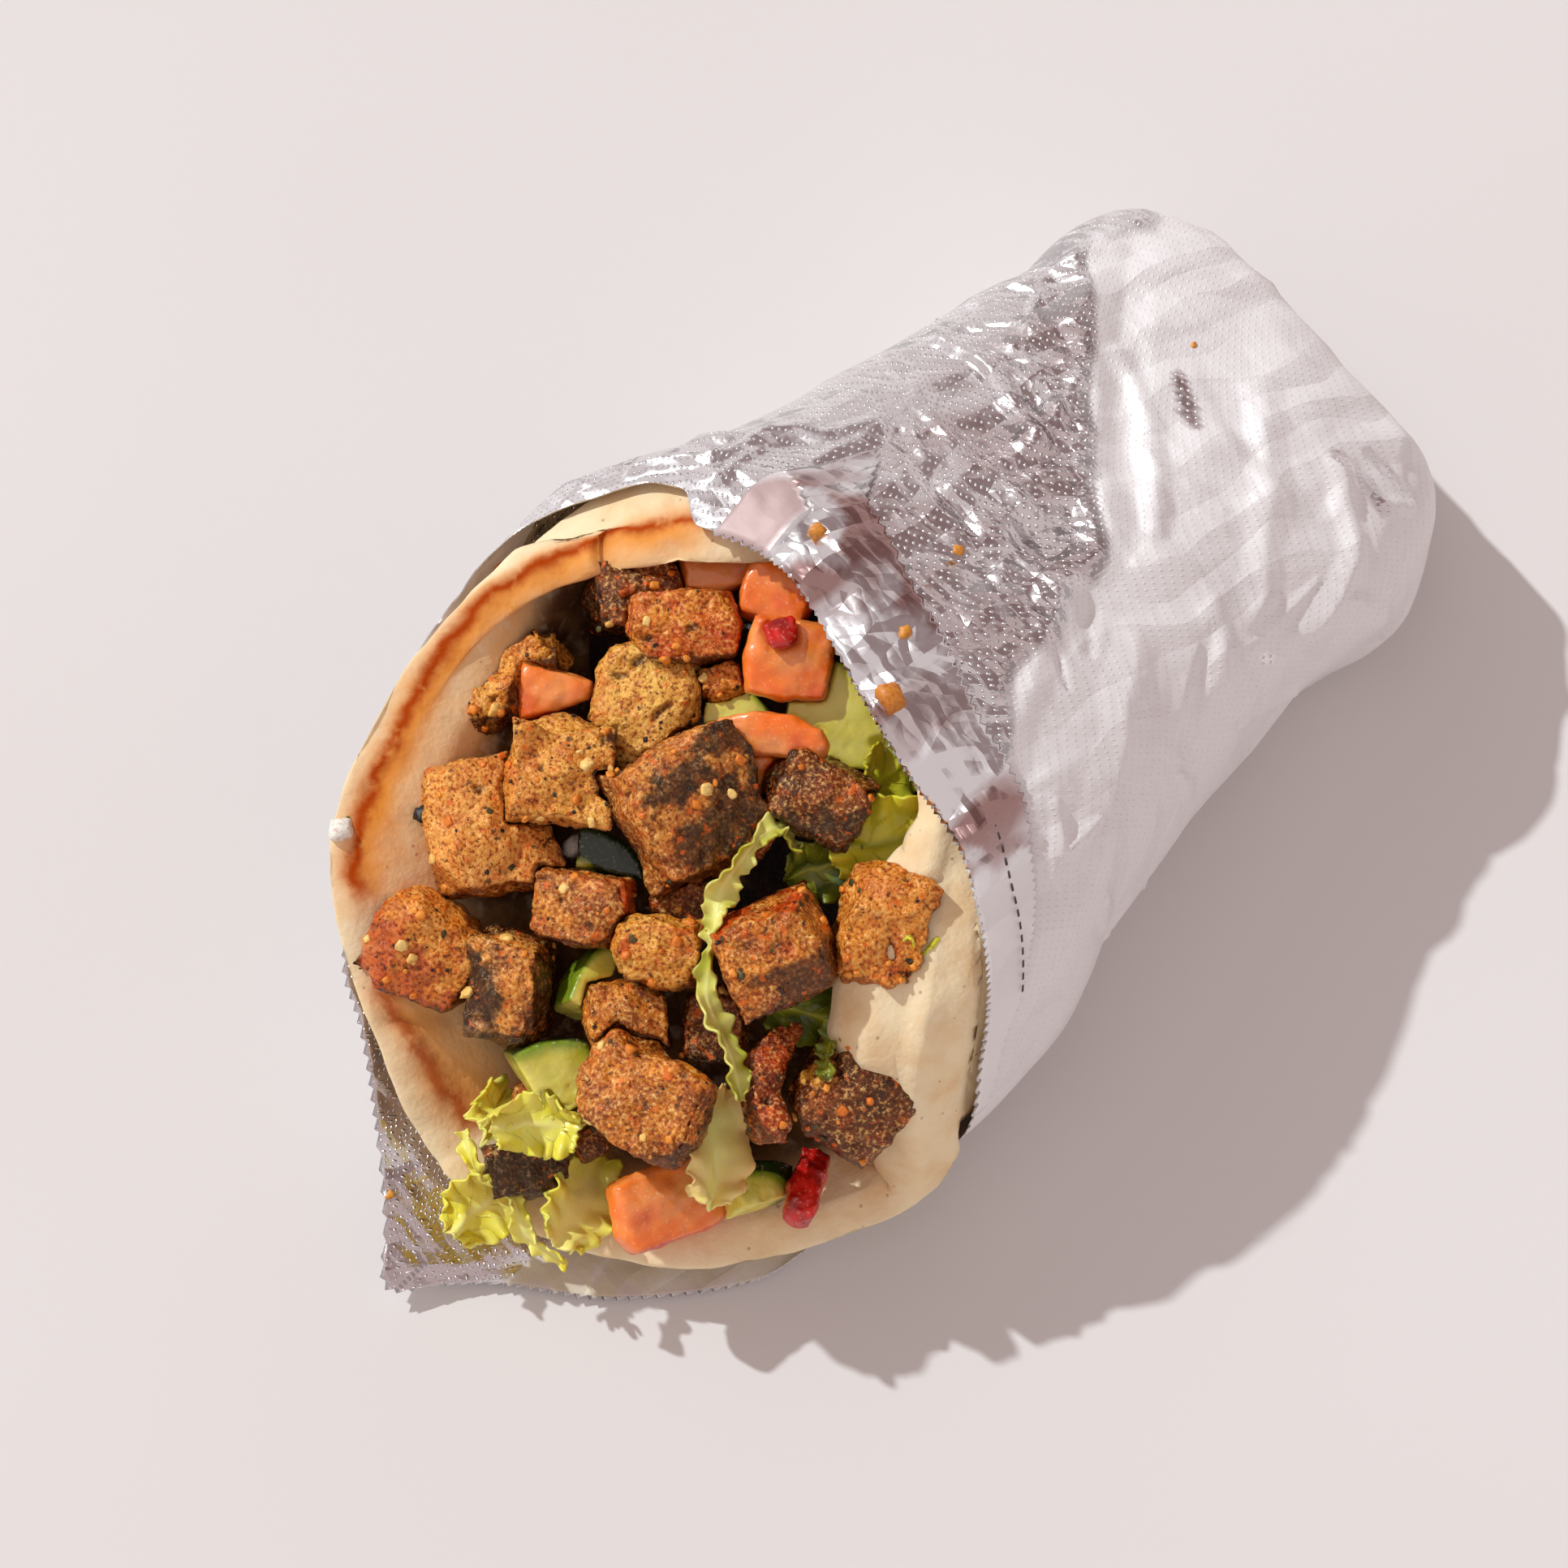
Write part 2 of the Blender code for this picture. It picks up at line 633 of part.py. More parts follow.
def pepper_chunk(piece, number):
    return chunk(piece.size, 5.0, 0.2, 60 + number)


def cucumber_cut(piece, number):
    return cucumber_wedge(piece.size, SLICE_SHARE, number)


def lettuce_leaf(piece, number):
    return leaf(piece.size, number)


def heap_rows(edge, pieces):
    """Rows from the edge of the heap to its middle, lowered to lie under every piece."""
    trees = [BVHTree.FromBMesh(shape) for shape in pieces]
    middle = edge.mean(axis=0) + (0, 0, HEAP_RISE)
    rows = []
    for share in HEAP_SHARES:
        row = middle + (edge - middle) * share
        row[:, 2] += HEAP_RISE * (1 - share * share) * 0.5
        for point in row:
            point[2] = min([point[2], *undersides(point, trees)])
        rows.append(row)
    return rows, rows[-1].mean(axis=0)


def undersides(point, trees):
    """Heights just under each piece that lies over this point or close beside it."""
    heights = []
    for angle in range(0, 360, 45):
        for reach in (0.0, HEAP_CLEAR / 2, HEAP_CLEAR):
            turn = math.radians(angle)
            beside = reach * Vector((math.cos(turn), math.sin(turn)))
            start = Vector((point[0] + beside.x, point[1] + beside.y, BELOW))
            for tree in trees:
                hit = tree.ray_cast(start * MM, Vector((0, 0, 1)))[0]
                if hit is not None:
                    heights.append(hit.z / MM - HEAP_GAP)
    return heights


def core_shape(pieces):
    """The filling that can't be seen: it fills the bread up to the pieces that lie on it."""
    depth = PITA_THICK + PITA_TO_CORE
    rows = pita_rows(depth)[:-HEAP_ROWS_DOWN]
    heap, top = heap_rows(rows[-1], pieces)
    return loft(rows + heap, tail_tip(FOIL_THICK + FOIL_TO_PITA + depth), top)


def clear_scene():
    for old in list(bpy.data.objects):
        bpy.data.objects.remove(old, do_unlink=True)


def add_strands(finish, parent):
    made = []
    for number, (path, width) in enumerate(zip(STRANDS, STRAND_WIDTH), 1):
        title = f"strand_{number:02d}"
        made.append(add_object(title, mesh_of(title, strand(path, width)), finish, parent))
    return made


def fit_pieces(heap):
    """Cuts each piece back to a gap from those before it that it meets."""
    wholes = {piece: piece.data.copy() for piece in heap}
    shapes = {piece: world_shape(piece) for piece in heap}
    for index, piece in enumerate(heap):
        met = [other for other in heap[:index] if overlaps(shapes[piece], shapes[other])]
        if met:
            cut_back(piece, met, wholes)
    for whole in wholes.values():
        bpy.data.meshes.remove(whole)


def add_core(pieces, finish, parent):
    """The hidden filling, and each piece that still meets it cut back to a gap from it."""
    data = mesh_of("filling_core", core_shape([world_shape(piece) for piece in pieces]))
    core = add_object("filling_core", data, finish, parent)
    for piece in pieces:
        if overlaps(world_shape(piece), world_shape(core)):
            cut_back(piece, [core], {core: core.data})


def main():
    clear_scene()
    for title in (PARTS, CUTTERS):
        bpy.context.scene.collection.children.link(bpy.data.collections.new(title))
    wrap = bpy.data.objects.new("wrap", None)
    wrap.location = (BODY_SHIFT[0] * MM, BODY_SHIFT[1] * MM, 0)
    bpy.data.collections[PARTS].objects.link(wrap)
    foil = material("foil", (0.78, 0.77, 0.79), 0.25, 1.0)
    bread = material("bread", (0.85, 0.66, 0.42), 0.6)
    meat = material("meat", (0.36, 0.19, 0.08), 0.5)
    tomato = material("tomato", (0.8, 0.2, 0.1), 0.3)
    pepper = material("pepper", (0.6, 0.03, 0.03), 0.3)
    cucumber = material("cucumber", (0.6, 0.7, 0.35), 0.3)
    lettuce = material("lettuce", (0.4, 0.6, 0.12), 0.4)
    core = material("filling", (0.2, 0.12, 0.05), 0.6)

    pita = add_object("pita", mesh_of("pita", pita_shell()), bread, wrap)
    add_object("foil_wrap", mesh_of("foil_wrap", foil_shell()), foil, wrap)
    add_object("foil_collar", mesh_of("foil_collar", collar_shape()), foil, wrap)
    strands = add_strands(lettuce, wrap)
    meats = add_pieces("meat", MEAT, meat_chunk, meat, wrap)
    tomatoes = add_pieces("tomato", TOMATO, tomato_chunk, tomato, wrap)
    peppers = add_pieces("pepper", PEPPER, pepper_chunk, pepper, wrap)
    cucumbers = add_pieces("cucumber", CUCUMBER, cucumber_cut, cucumber, wrap)
    leaves = add_pieces("lettuce", LEAVES, lettuce_leaf, lettuce, wrap)

    above = [*strands, *peppers, *tomatoes[:TOP_TOMATOES], *meats[:TOP_MEATS], *leaves]
    below = [*meats[TOP_MEATS:], *tomatoes[TOP_TOMATOES:], *cucumbers]
    fit_pieces([pita, *above, *below])
    add_core(above + below, core, wrap)


main()
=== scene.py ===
"""Looks of the gyro wrap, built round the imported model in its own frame.

Sizes are in millimetres, seen from the middle of the wrap's mouth, and become metres where a
mesh is made. The foil and the bread follow the same sections and edges as the solids, in finer
steps. A way round the mouth is in degrees from its lowest point.
"""

import itertools
import math
from collections import namedtuple

import bmesh
import bpy
import numpy as np
from mathutils import Euler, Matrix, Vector
from mathutils.bvhtree import BVHTree


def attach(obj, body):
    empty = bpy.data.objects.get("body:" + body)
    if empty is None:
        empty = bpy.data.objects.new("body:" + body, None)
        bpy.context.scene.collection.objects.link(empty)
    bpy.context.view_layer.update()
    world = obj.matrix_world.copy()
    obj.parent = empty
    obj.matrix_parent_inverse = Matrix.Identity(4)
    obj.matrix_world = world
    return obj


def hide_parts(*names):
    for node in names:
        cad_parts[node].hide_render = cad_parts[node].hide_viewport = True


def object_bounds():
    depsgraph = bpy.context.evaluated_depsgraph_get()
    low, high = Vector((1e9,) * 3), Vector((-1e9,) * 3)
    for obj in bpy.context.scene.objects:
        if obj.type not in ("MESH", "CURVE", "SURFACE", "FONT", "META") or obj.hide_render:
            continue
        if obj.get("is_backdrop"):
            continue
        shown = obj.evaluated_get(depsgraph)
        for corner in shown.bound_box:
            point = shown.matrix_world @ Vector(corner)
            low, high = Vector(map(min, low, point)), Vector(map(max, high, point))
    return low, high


MM = 0.001
BODY_SHIFT = np.array((-1.6, -11.2, 0.0))

# ---- the wrap's form, as in the solids

FOIL_THICK, FOIL_TO_PITA, PITA_THICK = 0.5, 0.6, 6.0
FLAP_ANGLES, FLAP_WIDTH = (78, 138), 8.0
TAIL_START = 82
MOUTH_BLEND = 0.42  # where along the wrap its sections start to lean over to the mouth's edge
PLACES = np.array((0, 1, 2, 3, 4, 5, 6, 7, 9, 11)) / 11

Section = namedtuple("Section", "y slant middle half_width low high squareness")
SECTIONS = (
    Section(115, 0, 0.5, 4, 15, 21, 2.0),
    Section(113.5, 0, 0.5, 27.5, 6, 31, 2.4),
    Section(106, 0, 0, 37, 0, 37, 2.6),
    Section(93, 0, 0.5, 40.5, -2, 41.5, 2.7),
    Section(72, 1, 0, 41, -2, 46.5, 2.7),
    Section(50, 3, -0.5, 43.5, -2, 51.5, 2.7),
    Section(36, 8, -0.5, 45.5, -2, 55, 2.6),
    Section(17, 18, -1.5, 48.5, -2, 57.5, 2.6),
    Section(-6, 32, -3, 52.5, -2, 60, 2.6),
    Section(-30, 46, -2.5, 51.5, -2, 60, 2.6),
)
# Points of the two edges at the mouth: the way round it, then the place.
FOIL_EDGE = (
    (5, 18, -87, 2.5), (12, 24, -80, 1.5), (28, 37, -69, 1.5), (46, 49, -52.5, 2),
    (60, 52, -42, 4), (70, 54, -29, 7), (79, 56.5, -17, 13), (87, 57.5, -13.5, 23),
    (96, 54, -9, 34), (105, 51, -5, 41), (120, 46, -0.5, 46.5), (132, 40, 3, 51),
    (146, 31, 7, 55.5), (160, 18.5, 8, 59.5), (176, 5, 11, 61.5), (191, -16, 16, 61),
    (206, -30, 13, 57), (222, -38, 8, 54.5), (232, -45, 3, 51), (250, -54, -13, 43.5),
    (272, -53, -29, 40), (290, -45, -49, 38), (315, -32, -65, 32), (332, -17, -72, 21),
    (345, -5, -80, 10), (352, 5, -87.5, 6), (358, 12.6, -94, 4),
)
PITA_RIM = (
    (0, 9, -76, 10), (12, 18, -74, 8), (28, 32, -67, 8.5), (45, 44, -57.5, 10), (58, 53, -43, 10),
    (68, 57.5, -33, 11), (76, 59.5, -26, 12.5), (84, 57, -23, 20), (92, 54, -22, 31),
    (104, 48.5, -16, 42.5), (118, 42, -8, 47.5), (135, 34, 2, 51), (150, 24, 14, 54),
    (180, -4, 25, 56.5), (205, -27, 17, 55.5), (222, -41.5, 4.5, 51), (240, -49.5, -14, 48.5),
    (262, -48, -35, 45.5), (285, -38.5, -57, 41), (305, -26, -67, 33), (320, -13, -72, 24.5),
    (335, -3, -75, 16), (350, 4, -76, 11.5),
)

COLLAR_ANGLES = (88, 205)
COLLAR_WIDTH, COLLAR_TAPER = 18.0, 0.62
COLLAR_CORNER = 11.0  # how much wider the end of the collar gets, in a corner

# How finely the foil and the bread are divided, round the wrap and between its sections.
FOIL_COLUMNS, FOIL_STEPS = 400, (3, 8, 18, 30, 34, 24, 32, 36, 34)
COARSE_COLUMNS, COARSE_STEPS = 96, (1, 1, 1, 1, 1, 2, 3, 5, 5)
PITA_COLUMNS, PITA_STEPS = 300, (1, 1, 2, 3, 4, 5, 9, 24, 34)
LINING_ROWS, COLLAR_STEPS = 26, 40


def unit(vectors):
    return vectors / np.maximum(np.linalg.norm(vectors, axis=-1, keepdims=True), 1e-9)


def spline(before, start, end, after, t):
    pull = end - before
    bend = 2 * before - 5 * start + 4 * end - after
    twist = 3 * start - before - 3 * end + after
    return 0.5 * (2 * start + pull * t + bend * t**2 + twist * t**3)


def turns(columns):
    return np.arange(columns) * 360.0 / columns


def signed_power(value, power):
    return np.sign(value) * np.abs(value) ** power


def section_points(section, inset, columns):
    power = 2 / section.squareness
    angle = np.radians(turns(columns))
    half_width = max(section.half_width - inset, 0.6)
    half_height = max((section.high - section.low) / 2 - inset, 0.6)
    x = section.middle + half_width * signed_power(np.sin(angle), power)
    tail = min(max((section.y - TAIL_START) / (SECTIONS[2].y - TAIL_START), 0), 1)
    y = section.y - inset * tail - section.slant * np.cos(angle)
    drop = half_height * signed_power(np.cos(angle), power)
    z = np.maximum((section.low + section.high) / 2 - drop, inset)
    return np.stack([x, y, z], axis=1)


def edge_points(keys, columns):
    keys = np.array(keys, float)
    at = np.concatenate([keys[-2:, 0] - 360, keys[:, 0], keys[:2, 0] + 360])
    places = np.concatenate([keys[-2:, 1:], keys[:, 1:], keys[:2, 1:]])
    points = []
    for angle in turns(columns):
        index = int(np.searchsorted(at, angle, side="right")) - 1
        t = (angle - at[index]) / (at[index + 1] - at[index])
        points.append(spline(*places[index - 1 : index + 3], t))
    return np.array(points)


def inward(edge, distance):
    run = np.roll(edge, -1, axis=0) - np.roll(edge, 1, axis=0)
    across = edge.mean(axis=0) - edge
    across -= run * ((across * run).sum(axis=1) / (run * run).sum(axis=1))[:, None]
    return edge + unit(across) * np.reshape(distance, (-1, 1))


def leaning_rows(inset, edge, steps):
    """An array of rows from the tail to the mouth, which lean over until the last is the edge."""
    keys = np.array(SECTIONS, float)
    last = len(keys) - 1
    columns = len(edge)
    lean = edge - section_points(SECTIONS[-1], inset, columns)
    rows = []
    for index, count in enumerate((*steps, 1)):
        near = [keys[min(max(index + k, 0), last)] for k in (-1, 0, 1, 2)]
        for step in range(count):
            t = step / count
            place = np.interp(index + t, range(len(PLACES)), PLACES)
            part = max(0.0, (place - MOUTH_BLEND) / (1 - MOUTH_BLEND))
            row = section_points(Section(*spline(*near, t)), inset, columns)
            rows.append(row + lean * part**2 * (3 - 2 * part))
    return np.array(rows)


def smooth_step(value, start, end):
    share = np.clip((value - start) / (end - start), 0, 1)
    return share * share * (3 - 2 * share)


def bump(angle, start, end):
    return np.sin(np.clip((angle - start) / (end - start), 0, 1) * math.pi) ** 0.5


def span(angle, start, end, soft=8):
    """1 between two angles, and smoothly 0 outside them."""
    return smooth_step(angle, start, start + soft) * (1 - smooth_step(angle, end - soft, end))


# ---- noise


def scramble(cell):
    """A random whole number for each cell of a grid."""
    mixed = cell @ np.array((73856093, 19349663, 83492791))
    mixed = ((mixed ^ (mixed >> 13)) * 1274126177) & 0x7FFFFFFF
    return ((mixed ^ (mixed >> 15)) * 668265263) & 0x7FFFFFFF


def lumps(points, size, seed=0.0):
    """Smooth noise from about -1 to 1, with lumps of this size."""
    spot = np.asarray(points) / size + np.array((7.31, 3.17, 5.53)) * (seed + 1)
    cell = np.floor(spot).astype(np.int64)
    part = spot - cell
    fade = part**3 * (part * (6 * part - 15) + 10)
    total = np.zeros(len(spot))
    for corner in itertools.product((0, 1), repeat=3):
        mixed = scramble(cell + corner)
        turn = (mixed & 0x3FFF) * (2 * math.pi / 0x4000)
        lift = ((mixed >> 14) & 0x3FFF) / 0x2000 - 1
        ring = np.sqrt(np.maximum(0, 1 - lift * lift))
        away = part - corner
        slope = away[:, 0] * ring * np.cos(turn) + away[:, 1] * ring * np.sin(turn)
        weight = np.where(corner, fade, 1 - fade).prod(axis=1)
        total += weight * (slope + away[:, 2] * lift)
    return total * 1.5


def drift(points, size, seed):
    """Smooth noise in each of the three directions."""
    return np.stack([lumps(points, size, seed + k) for k in range(3)], axis=1)


def ridges(points, size, seed=0.0):
    """Noise with sharp ridges, from about -1 to 1."""
    return 1 - 2.6 * np.abs(lumps(points, size, seed))


def grains(points, size, seed=0.0):
    """The distance to the nearest of many scattered spots, in sizes, and its number in 0 to 1."""
    spot = np.asarray(points) / size + np.array((2.7, 9.1, 4.3)) * (seed + 1)
    cell = np.floor(spot).astype(np.int64)
    nearest, number = np.full(len(spot), 9.0), np.zeros(len(spot))
    for corner in itertools.product((-1, 0, 1), repeat=3):
        mixed = scramble(cell + corner)
        place = np.stack([(mixed >> shift & 0x3FF) / 0x400 for shift in (0, 10, 20)], axis=1)
        away = np.linalg.norm(cell + corner + place - spot, axis=1)
        number = np.where(away < nearest, place[:, 0], number)
        nearest = np.minimum(away, nearest)
    return nearest, number


def crumple(points, size, seed, layers=5):
    """Flat facets that meet in sharp creases, as in crumpled foil, from about -1 to 1."""
    rng = np.random.default_rng(seed)
    total = np.zeros(len(points))
    for layer in range(layers):
        across = unit(rng.normal(size=3))
        bent = points @ across + 0.8 * size * lumps(points, 2.2 * size, seed + layer)
        total += np.abs((bent / size + rng.random()) % 2 - 1)
    return (total / layers - 0.5) * 3


# ---- meshes

VISIBLE = []  # the pieces made so far


def rgb(red, green, blue):
    """A linear colour from one of 0 to 255."""
    values = np.array((red, green, blue)) / 255
    return np.where(values > 0.04045, ((values + 0.055) / 1.055) ** 2.4, values / 12.92)


def mixed(colour, *layers):
    """A colour with others mixed into it in turn, each by a share for each point."""
    for other, share in layers:
        colour = colour + (other - colour) * np.asarray(share)[:, None]
    return colour


def placed(name, data):
    """A new object in the scene."""
    made = bpy.data.objects.new(name, data)
    bpy.context.scene.collection.objects.link(made)
    return made


def add_mesh(name, points, faces, finish, slot, replaced=(), paint=None, masks=(), uv=None):
    """A visible piece from points in millimetres, with its colours and masks at the points."""
    data = bpy.data.meshes.new(name)
    data.from_pydata((np.asarray(points) + BODY_SHIFT) * MM, [], faces)
    data.materials.append(finish)
    if paint is not None:
        layer = data.attributes.new("paint", "FLOAT_COLOR", "POINT")
        colours = np.insert(np.clip(paint, 0, 1), 3, 1, axis=1)
        layer.data.foreach_set("color", colours.astype(np.float32).ravel())
    for title, values in dict(masks).items():
        layer = data.attributes.new(title, "FLOAT", "POINT")
        layer.data.foreach_set("value", np.asarray(values, np.float32))
    if uv is not None:
        layer = data.uv_layers.new(name="wrap")
        corner = np.empty(len(data.loops), np.int32)
        data.loops.foreach_get("vertex_index", corner)
        layer.data.foreach_set("uv", np.asarray(uv, np.float32)[corner].ravel())
    data.shade_smooth()
    made = placed(name, data)
    VISIBLE.append(made)
    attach(made, "root")
    if replaced:
        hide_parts(*replaced)


def grid_faces(rows, columns, closed=True):
    """Quads over a grid of points, running round the columns if closed."""
    last = columns if closed else columns - 1
    row, column = np.meshgrid(np.arange(rows - 1), np.arange(last), indexing="ij")
    here, after = row * columns + column, row * columns + (column + 1) % columns
    quads = np.stack([here, after, after + columns, here + columns], axis=-1)
    return quads.reshape(-1, 4).tolist()


def plate(grid, thick):
    """A closed thin sheet: the grid of points, and the same points this much under it."""
    count = grid.shape[0] * grid.shape[1]
    index = np.arange(count).reshape(grid.shape[:2])
    top = grid_faces(*grid.shape[:2], closed=False)
    under = [[corner + count for corner in face[::-1]] for face in top]
    rim = [*index[0, :-1], *index[:-1, -1], *index[-1, :0:-1], *index[:0:-1, 0]]
    sides = [[b, a, a + count, b + count] for a, b in zip(rim, rim[1:] + rim[:1])]
    flat = grid.reshape(-1, 3)
    below = flat - grid_normals(grid, closed=False).reshape(-1, 3) * thick
    return np.concatenate([flat, below]), top + under + sides


def grid_normals(rows, closed=True):
    """Normals of a grid of points, for rows toward the mouth and columns toward +X."""
    along = np.gradient(rows, axis=0)
    if closed:
        across = np.roll(rows, -1, axis=1) - np.roll(rows, 1, axis=1)
    else:
        across = np.gradient(rows, axis=1)
    return unit(np.cross(across, along))


# ---- materials


def node(tree, kind, links=(), **settings):
    """A shader node, with its settings, and each socket linked or given its value."""
    made = tree.nodes.new("ShaderNode" + kind)
    for name, value in settings.items():
        setattr(made, name, value)
    for title, value in dict(links).items():
        socket = made.inputs[title]
        if isinstance(value, bpy.types.NodeSocket):
            tree.links.new(value, socket)
        else:
            socket.default_value = (*value, 1) if socket.type == "RGBA" else value
    return made


def math_node(tree, operation, *values):
    return node(tree, "Math", enumerate(values), operation=operation).outputs[0]


def times(tree, *values):
    return math_node(tree, "MULTIPLY", *values)


def scaled(tree, value, scale, start):
    return math_node(tree, "MULTIPLY_ADD", value, scale, start)


def blend(tree, share, first, second, kind="MIX"):
    """A colour between two, each a socket or a linear colour."""
    links = {0: share, 6: first, 7: second}
    return node(tree, "Mix", links, data_type="RGBA", blend_type=kind).outputs[2]


def grain(tree, size, detail=2.0):
    """A noise of this size in millimetres over the object, or for no detail, round cells."""
    links = {"Vector": node(tree, "TexCoord").outputs["Object"], "Scale": 1 / (size * MM)}
    if detail is None:
        return node(tree, "TexVoronoi", links).outputs["Distance"]
    return node(tree, "TexNoise", {**links, "Detail": detail}).outputs["Fac"]


def ramp(tree, value, low, high):
    """0 below low and 1 above high."""
    links = {"Value": value, "From Min": low, "From Max": high}
    return node(tree, "MapRange", links, clamp=True).outputs[0]


def attribute(tree, name):
    made = node(tree, "Attribute", attribute_name=name)
    return made.outputs["Color" if name == "paint" else "Fac"]


def relief(tree, height, depth, strength=1.0, under=None):
    links = {"Height": height, "Distance": depth * MM, "Strength": strength}
    if under is not None:
        links["Normal"] = under
    return node(tree, "Bump", links).outputs[0]


def painted(tree, spots, bumps, under=None, colour=None):
    """The paint with spots of colours laid over it, and a normal with layers of bumps.

    Each kind of spot is the size and detail of a noise, the values of it between which the
    colour comes up, how strong it gets, the colour, and how it mixes. Each layer of bumps is the
    size and detail of a noise, its depth and its strength.
    """
    colour = colour or attribute(tree, "paint")
    for size, detail, low, high, strength, tint, *kind in spots:
        share = times(tree, ramp(tree, grain(tree, size, detail), low, high), strength)
        colour = blend(tree, share, colour, tint, *kind)
    for size, detail, depth, strength in bumps:
        under = relief(tree, grain(tree, size, detail), depth, strength, under)
    return {"Base_Color": colour, "Normal": under}


def shader(name, build, **sockets):
    """A Principled material: its plain sockets, then the nodes that build() adds."""
    made = bpy.data.materials.new(name)
    made.use_nodes = True
    tree = made.node_tree
    principled = tree.nodes["Principled BSDF"]
    for title, value in sockets.items():
        principled.inputs[title.replace("_", " ")].default_value = value
    for title, output in build(tree).items():
        tree.links.new(output, principled.inputs[title.replace("_", " ")])
    return made


# ---- foil

DOT_PITCH = 1.75  # between embossed dots in a row; the next row is half over and half as far
TOOTH = 0.9  # how far the teeth of the foil's cut edge reach
WAVE_PERIOD = math.tau / 20  # of a wave texture at scale 1
FOIL_COLOUR, MATTE_COLOUR = rgb(242, 240, 242), rgb(238, 233, 233)
# The reddish grey laid on the foil is a painted reflection of the dim room above it; the juice is
# a real stain.
PAINTED_REFLECTION, JUICE = rgb(176, 142, 138), rgb(206, 196, 110)
LOWEST = 0.03  # how near the foil may come to the floor
DEEPEST, HIGHEST = -0.85, 2.4  # how far the crumpled foil may leave its plain form
CALM_FROM, CALM_TO = (88, 130), (204, 212)  # under the collar, between these, it is smooth
LINING_GAP, COLLAR_THICK = 0.3, 0.12
CORNER_ANGLES = (300, 12)  # the front corner, where the inner side is bare and dotted
JUICY_BELOW = 60  # the way round the mouth up to which the inner side is stained

# The long fold between the dotted and the pale foil, seen from above, and creases past it that
# are dotted again.
DARK_TO_PALE = (
    (-34, 104), (-29.8, 92.2), (-14, 77), (12.6, 55.4), (13.6, 46.1), (24.3, 24.8), (31, 11),
)
SLOTS = (
    ((20.5, 98.5), (31, 99)),
    ((22.5, 103.3), (32, 104.5)),
    ((36, 66), (41, 70), (41.5, 90)),
    ((-5, 88), (3, 84)),
)
SLIT_ANGLES, SLITS_AWAY = (106, 163), 5.6  # the line of slits: where, and how far from the edge
SLIT, SLIT_GAP, SLIT_WIDTH, SLIT_THICK, SLIT_LIFT = 1.1, 0.9, 0.35, 0.1, 1.1
HEM_ANGLES = (206, 322)  # the folded part of the mouth's edge, which has no teeth
TUCK, TUCK_ANGLES = 7.0, (209, 326)  # how far the edge is drawn back under the bread, and where

# Ridges and valleys on top of the foil: height, width and course, seen from above.
FOLDS = (
    (1.7, 5.0, ((-31, 96), (-29.8, 92.2), (-19, 82), (-11.5, 75.5), (8, 59), (12, 46))),
    (1.2, 4.0, ((12, 46), (18, 34), (24.3, 24.8), (31, 11))),
    (1.5, 2.6, ((-14, 84), (-2, 78), (7, 71), (12, 65))),
    (-1.3, 5.0, ((-22, 92), (-9, 80), (2, 68))),
    (1.1, 4.0, ((5, 97), (20, 84), (31, 70))),
    (-1.0, 3.0, ((-2, 93), (12, 88), (24, 90))),
    (1.4, 3.2, ((22, 97), (34, 88), (38, 76))),
    (1.0, 3.5, ((14, 62), (26, 66), (37, 58))),
    (-0.8, 2.2, ((30, 62), (36, 52), (40, 47))),
    (0.9, 4.0, ((24, 50), (34, 38), (44, 24))),
    (1.1, 2.6, ((-38, 58), (-26, 54), (-12, 50), (0, 52))),
    (1.2, 2.4, ((-36, 66), (-24, 66), (-10, 62))),
    (-0.9, 2.0, ((-34, 50), (-18, 44), (-4, 42))),
    (0.9, 2.2, ((-14, 74), (-10, 60), (-12, 44))),
    (1.0, 2.0, ((-30, 80), (-22, 72), (-8, 66))),
    (0.8, 2.0, ((-2, 66), (-6, 54), (4, 40))),
    (1.2, 2.2, ((-46, 24), (-38, 30), (-28, 46))),
    (1.3, 1.8, ((-47, 12), (-40, 22), (-35, 38))),
)
CREASES = 90  # short creases scattered over the foil
CREASE_LENGTH, CREASE_WIDTH, CREASE_HEIGHT = (6, 26), (1.4, 4.0), (0.3, 0.95)
FACETS, FINE_FACETS = (11.0, 4), (3.4, 3)  # the size and layers of the creases in the foil's look


def triangle_waves(tree, size, layers):
    """Flat facets that meet in sharp creases, about this far apart, from 0 to 1."""
    rng = np.random.default_rng(layers)
    where = node(tree, "TexCoord").outputs["Object"]
    total = 0.0
    for layer in range(layers):
        turn = tuple(rng.uniform(0, math.tau, 3))
        mapped = node(tree, "Mapping", {"Vector": where, "Rotation": turn}).outputs[0]
        links = {"Vector": mapped, "Scale": WAVE_PERIOD / (size * MM * (1 + 0.35 * layer))}
        links |= {"Distortion": 8.0, "Detail": 2.0, "Detail Scale": 1.0}
        wave = node(tree, "TexWave", links, wave_profile="TRI").outputs["Fac"]
        total = math_node(tree, "ADD", total, wave)
    return times(tree, total, 1 / layers)


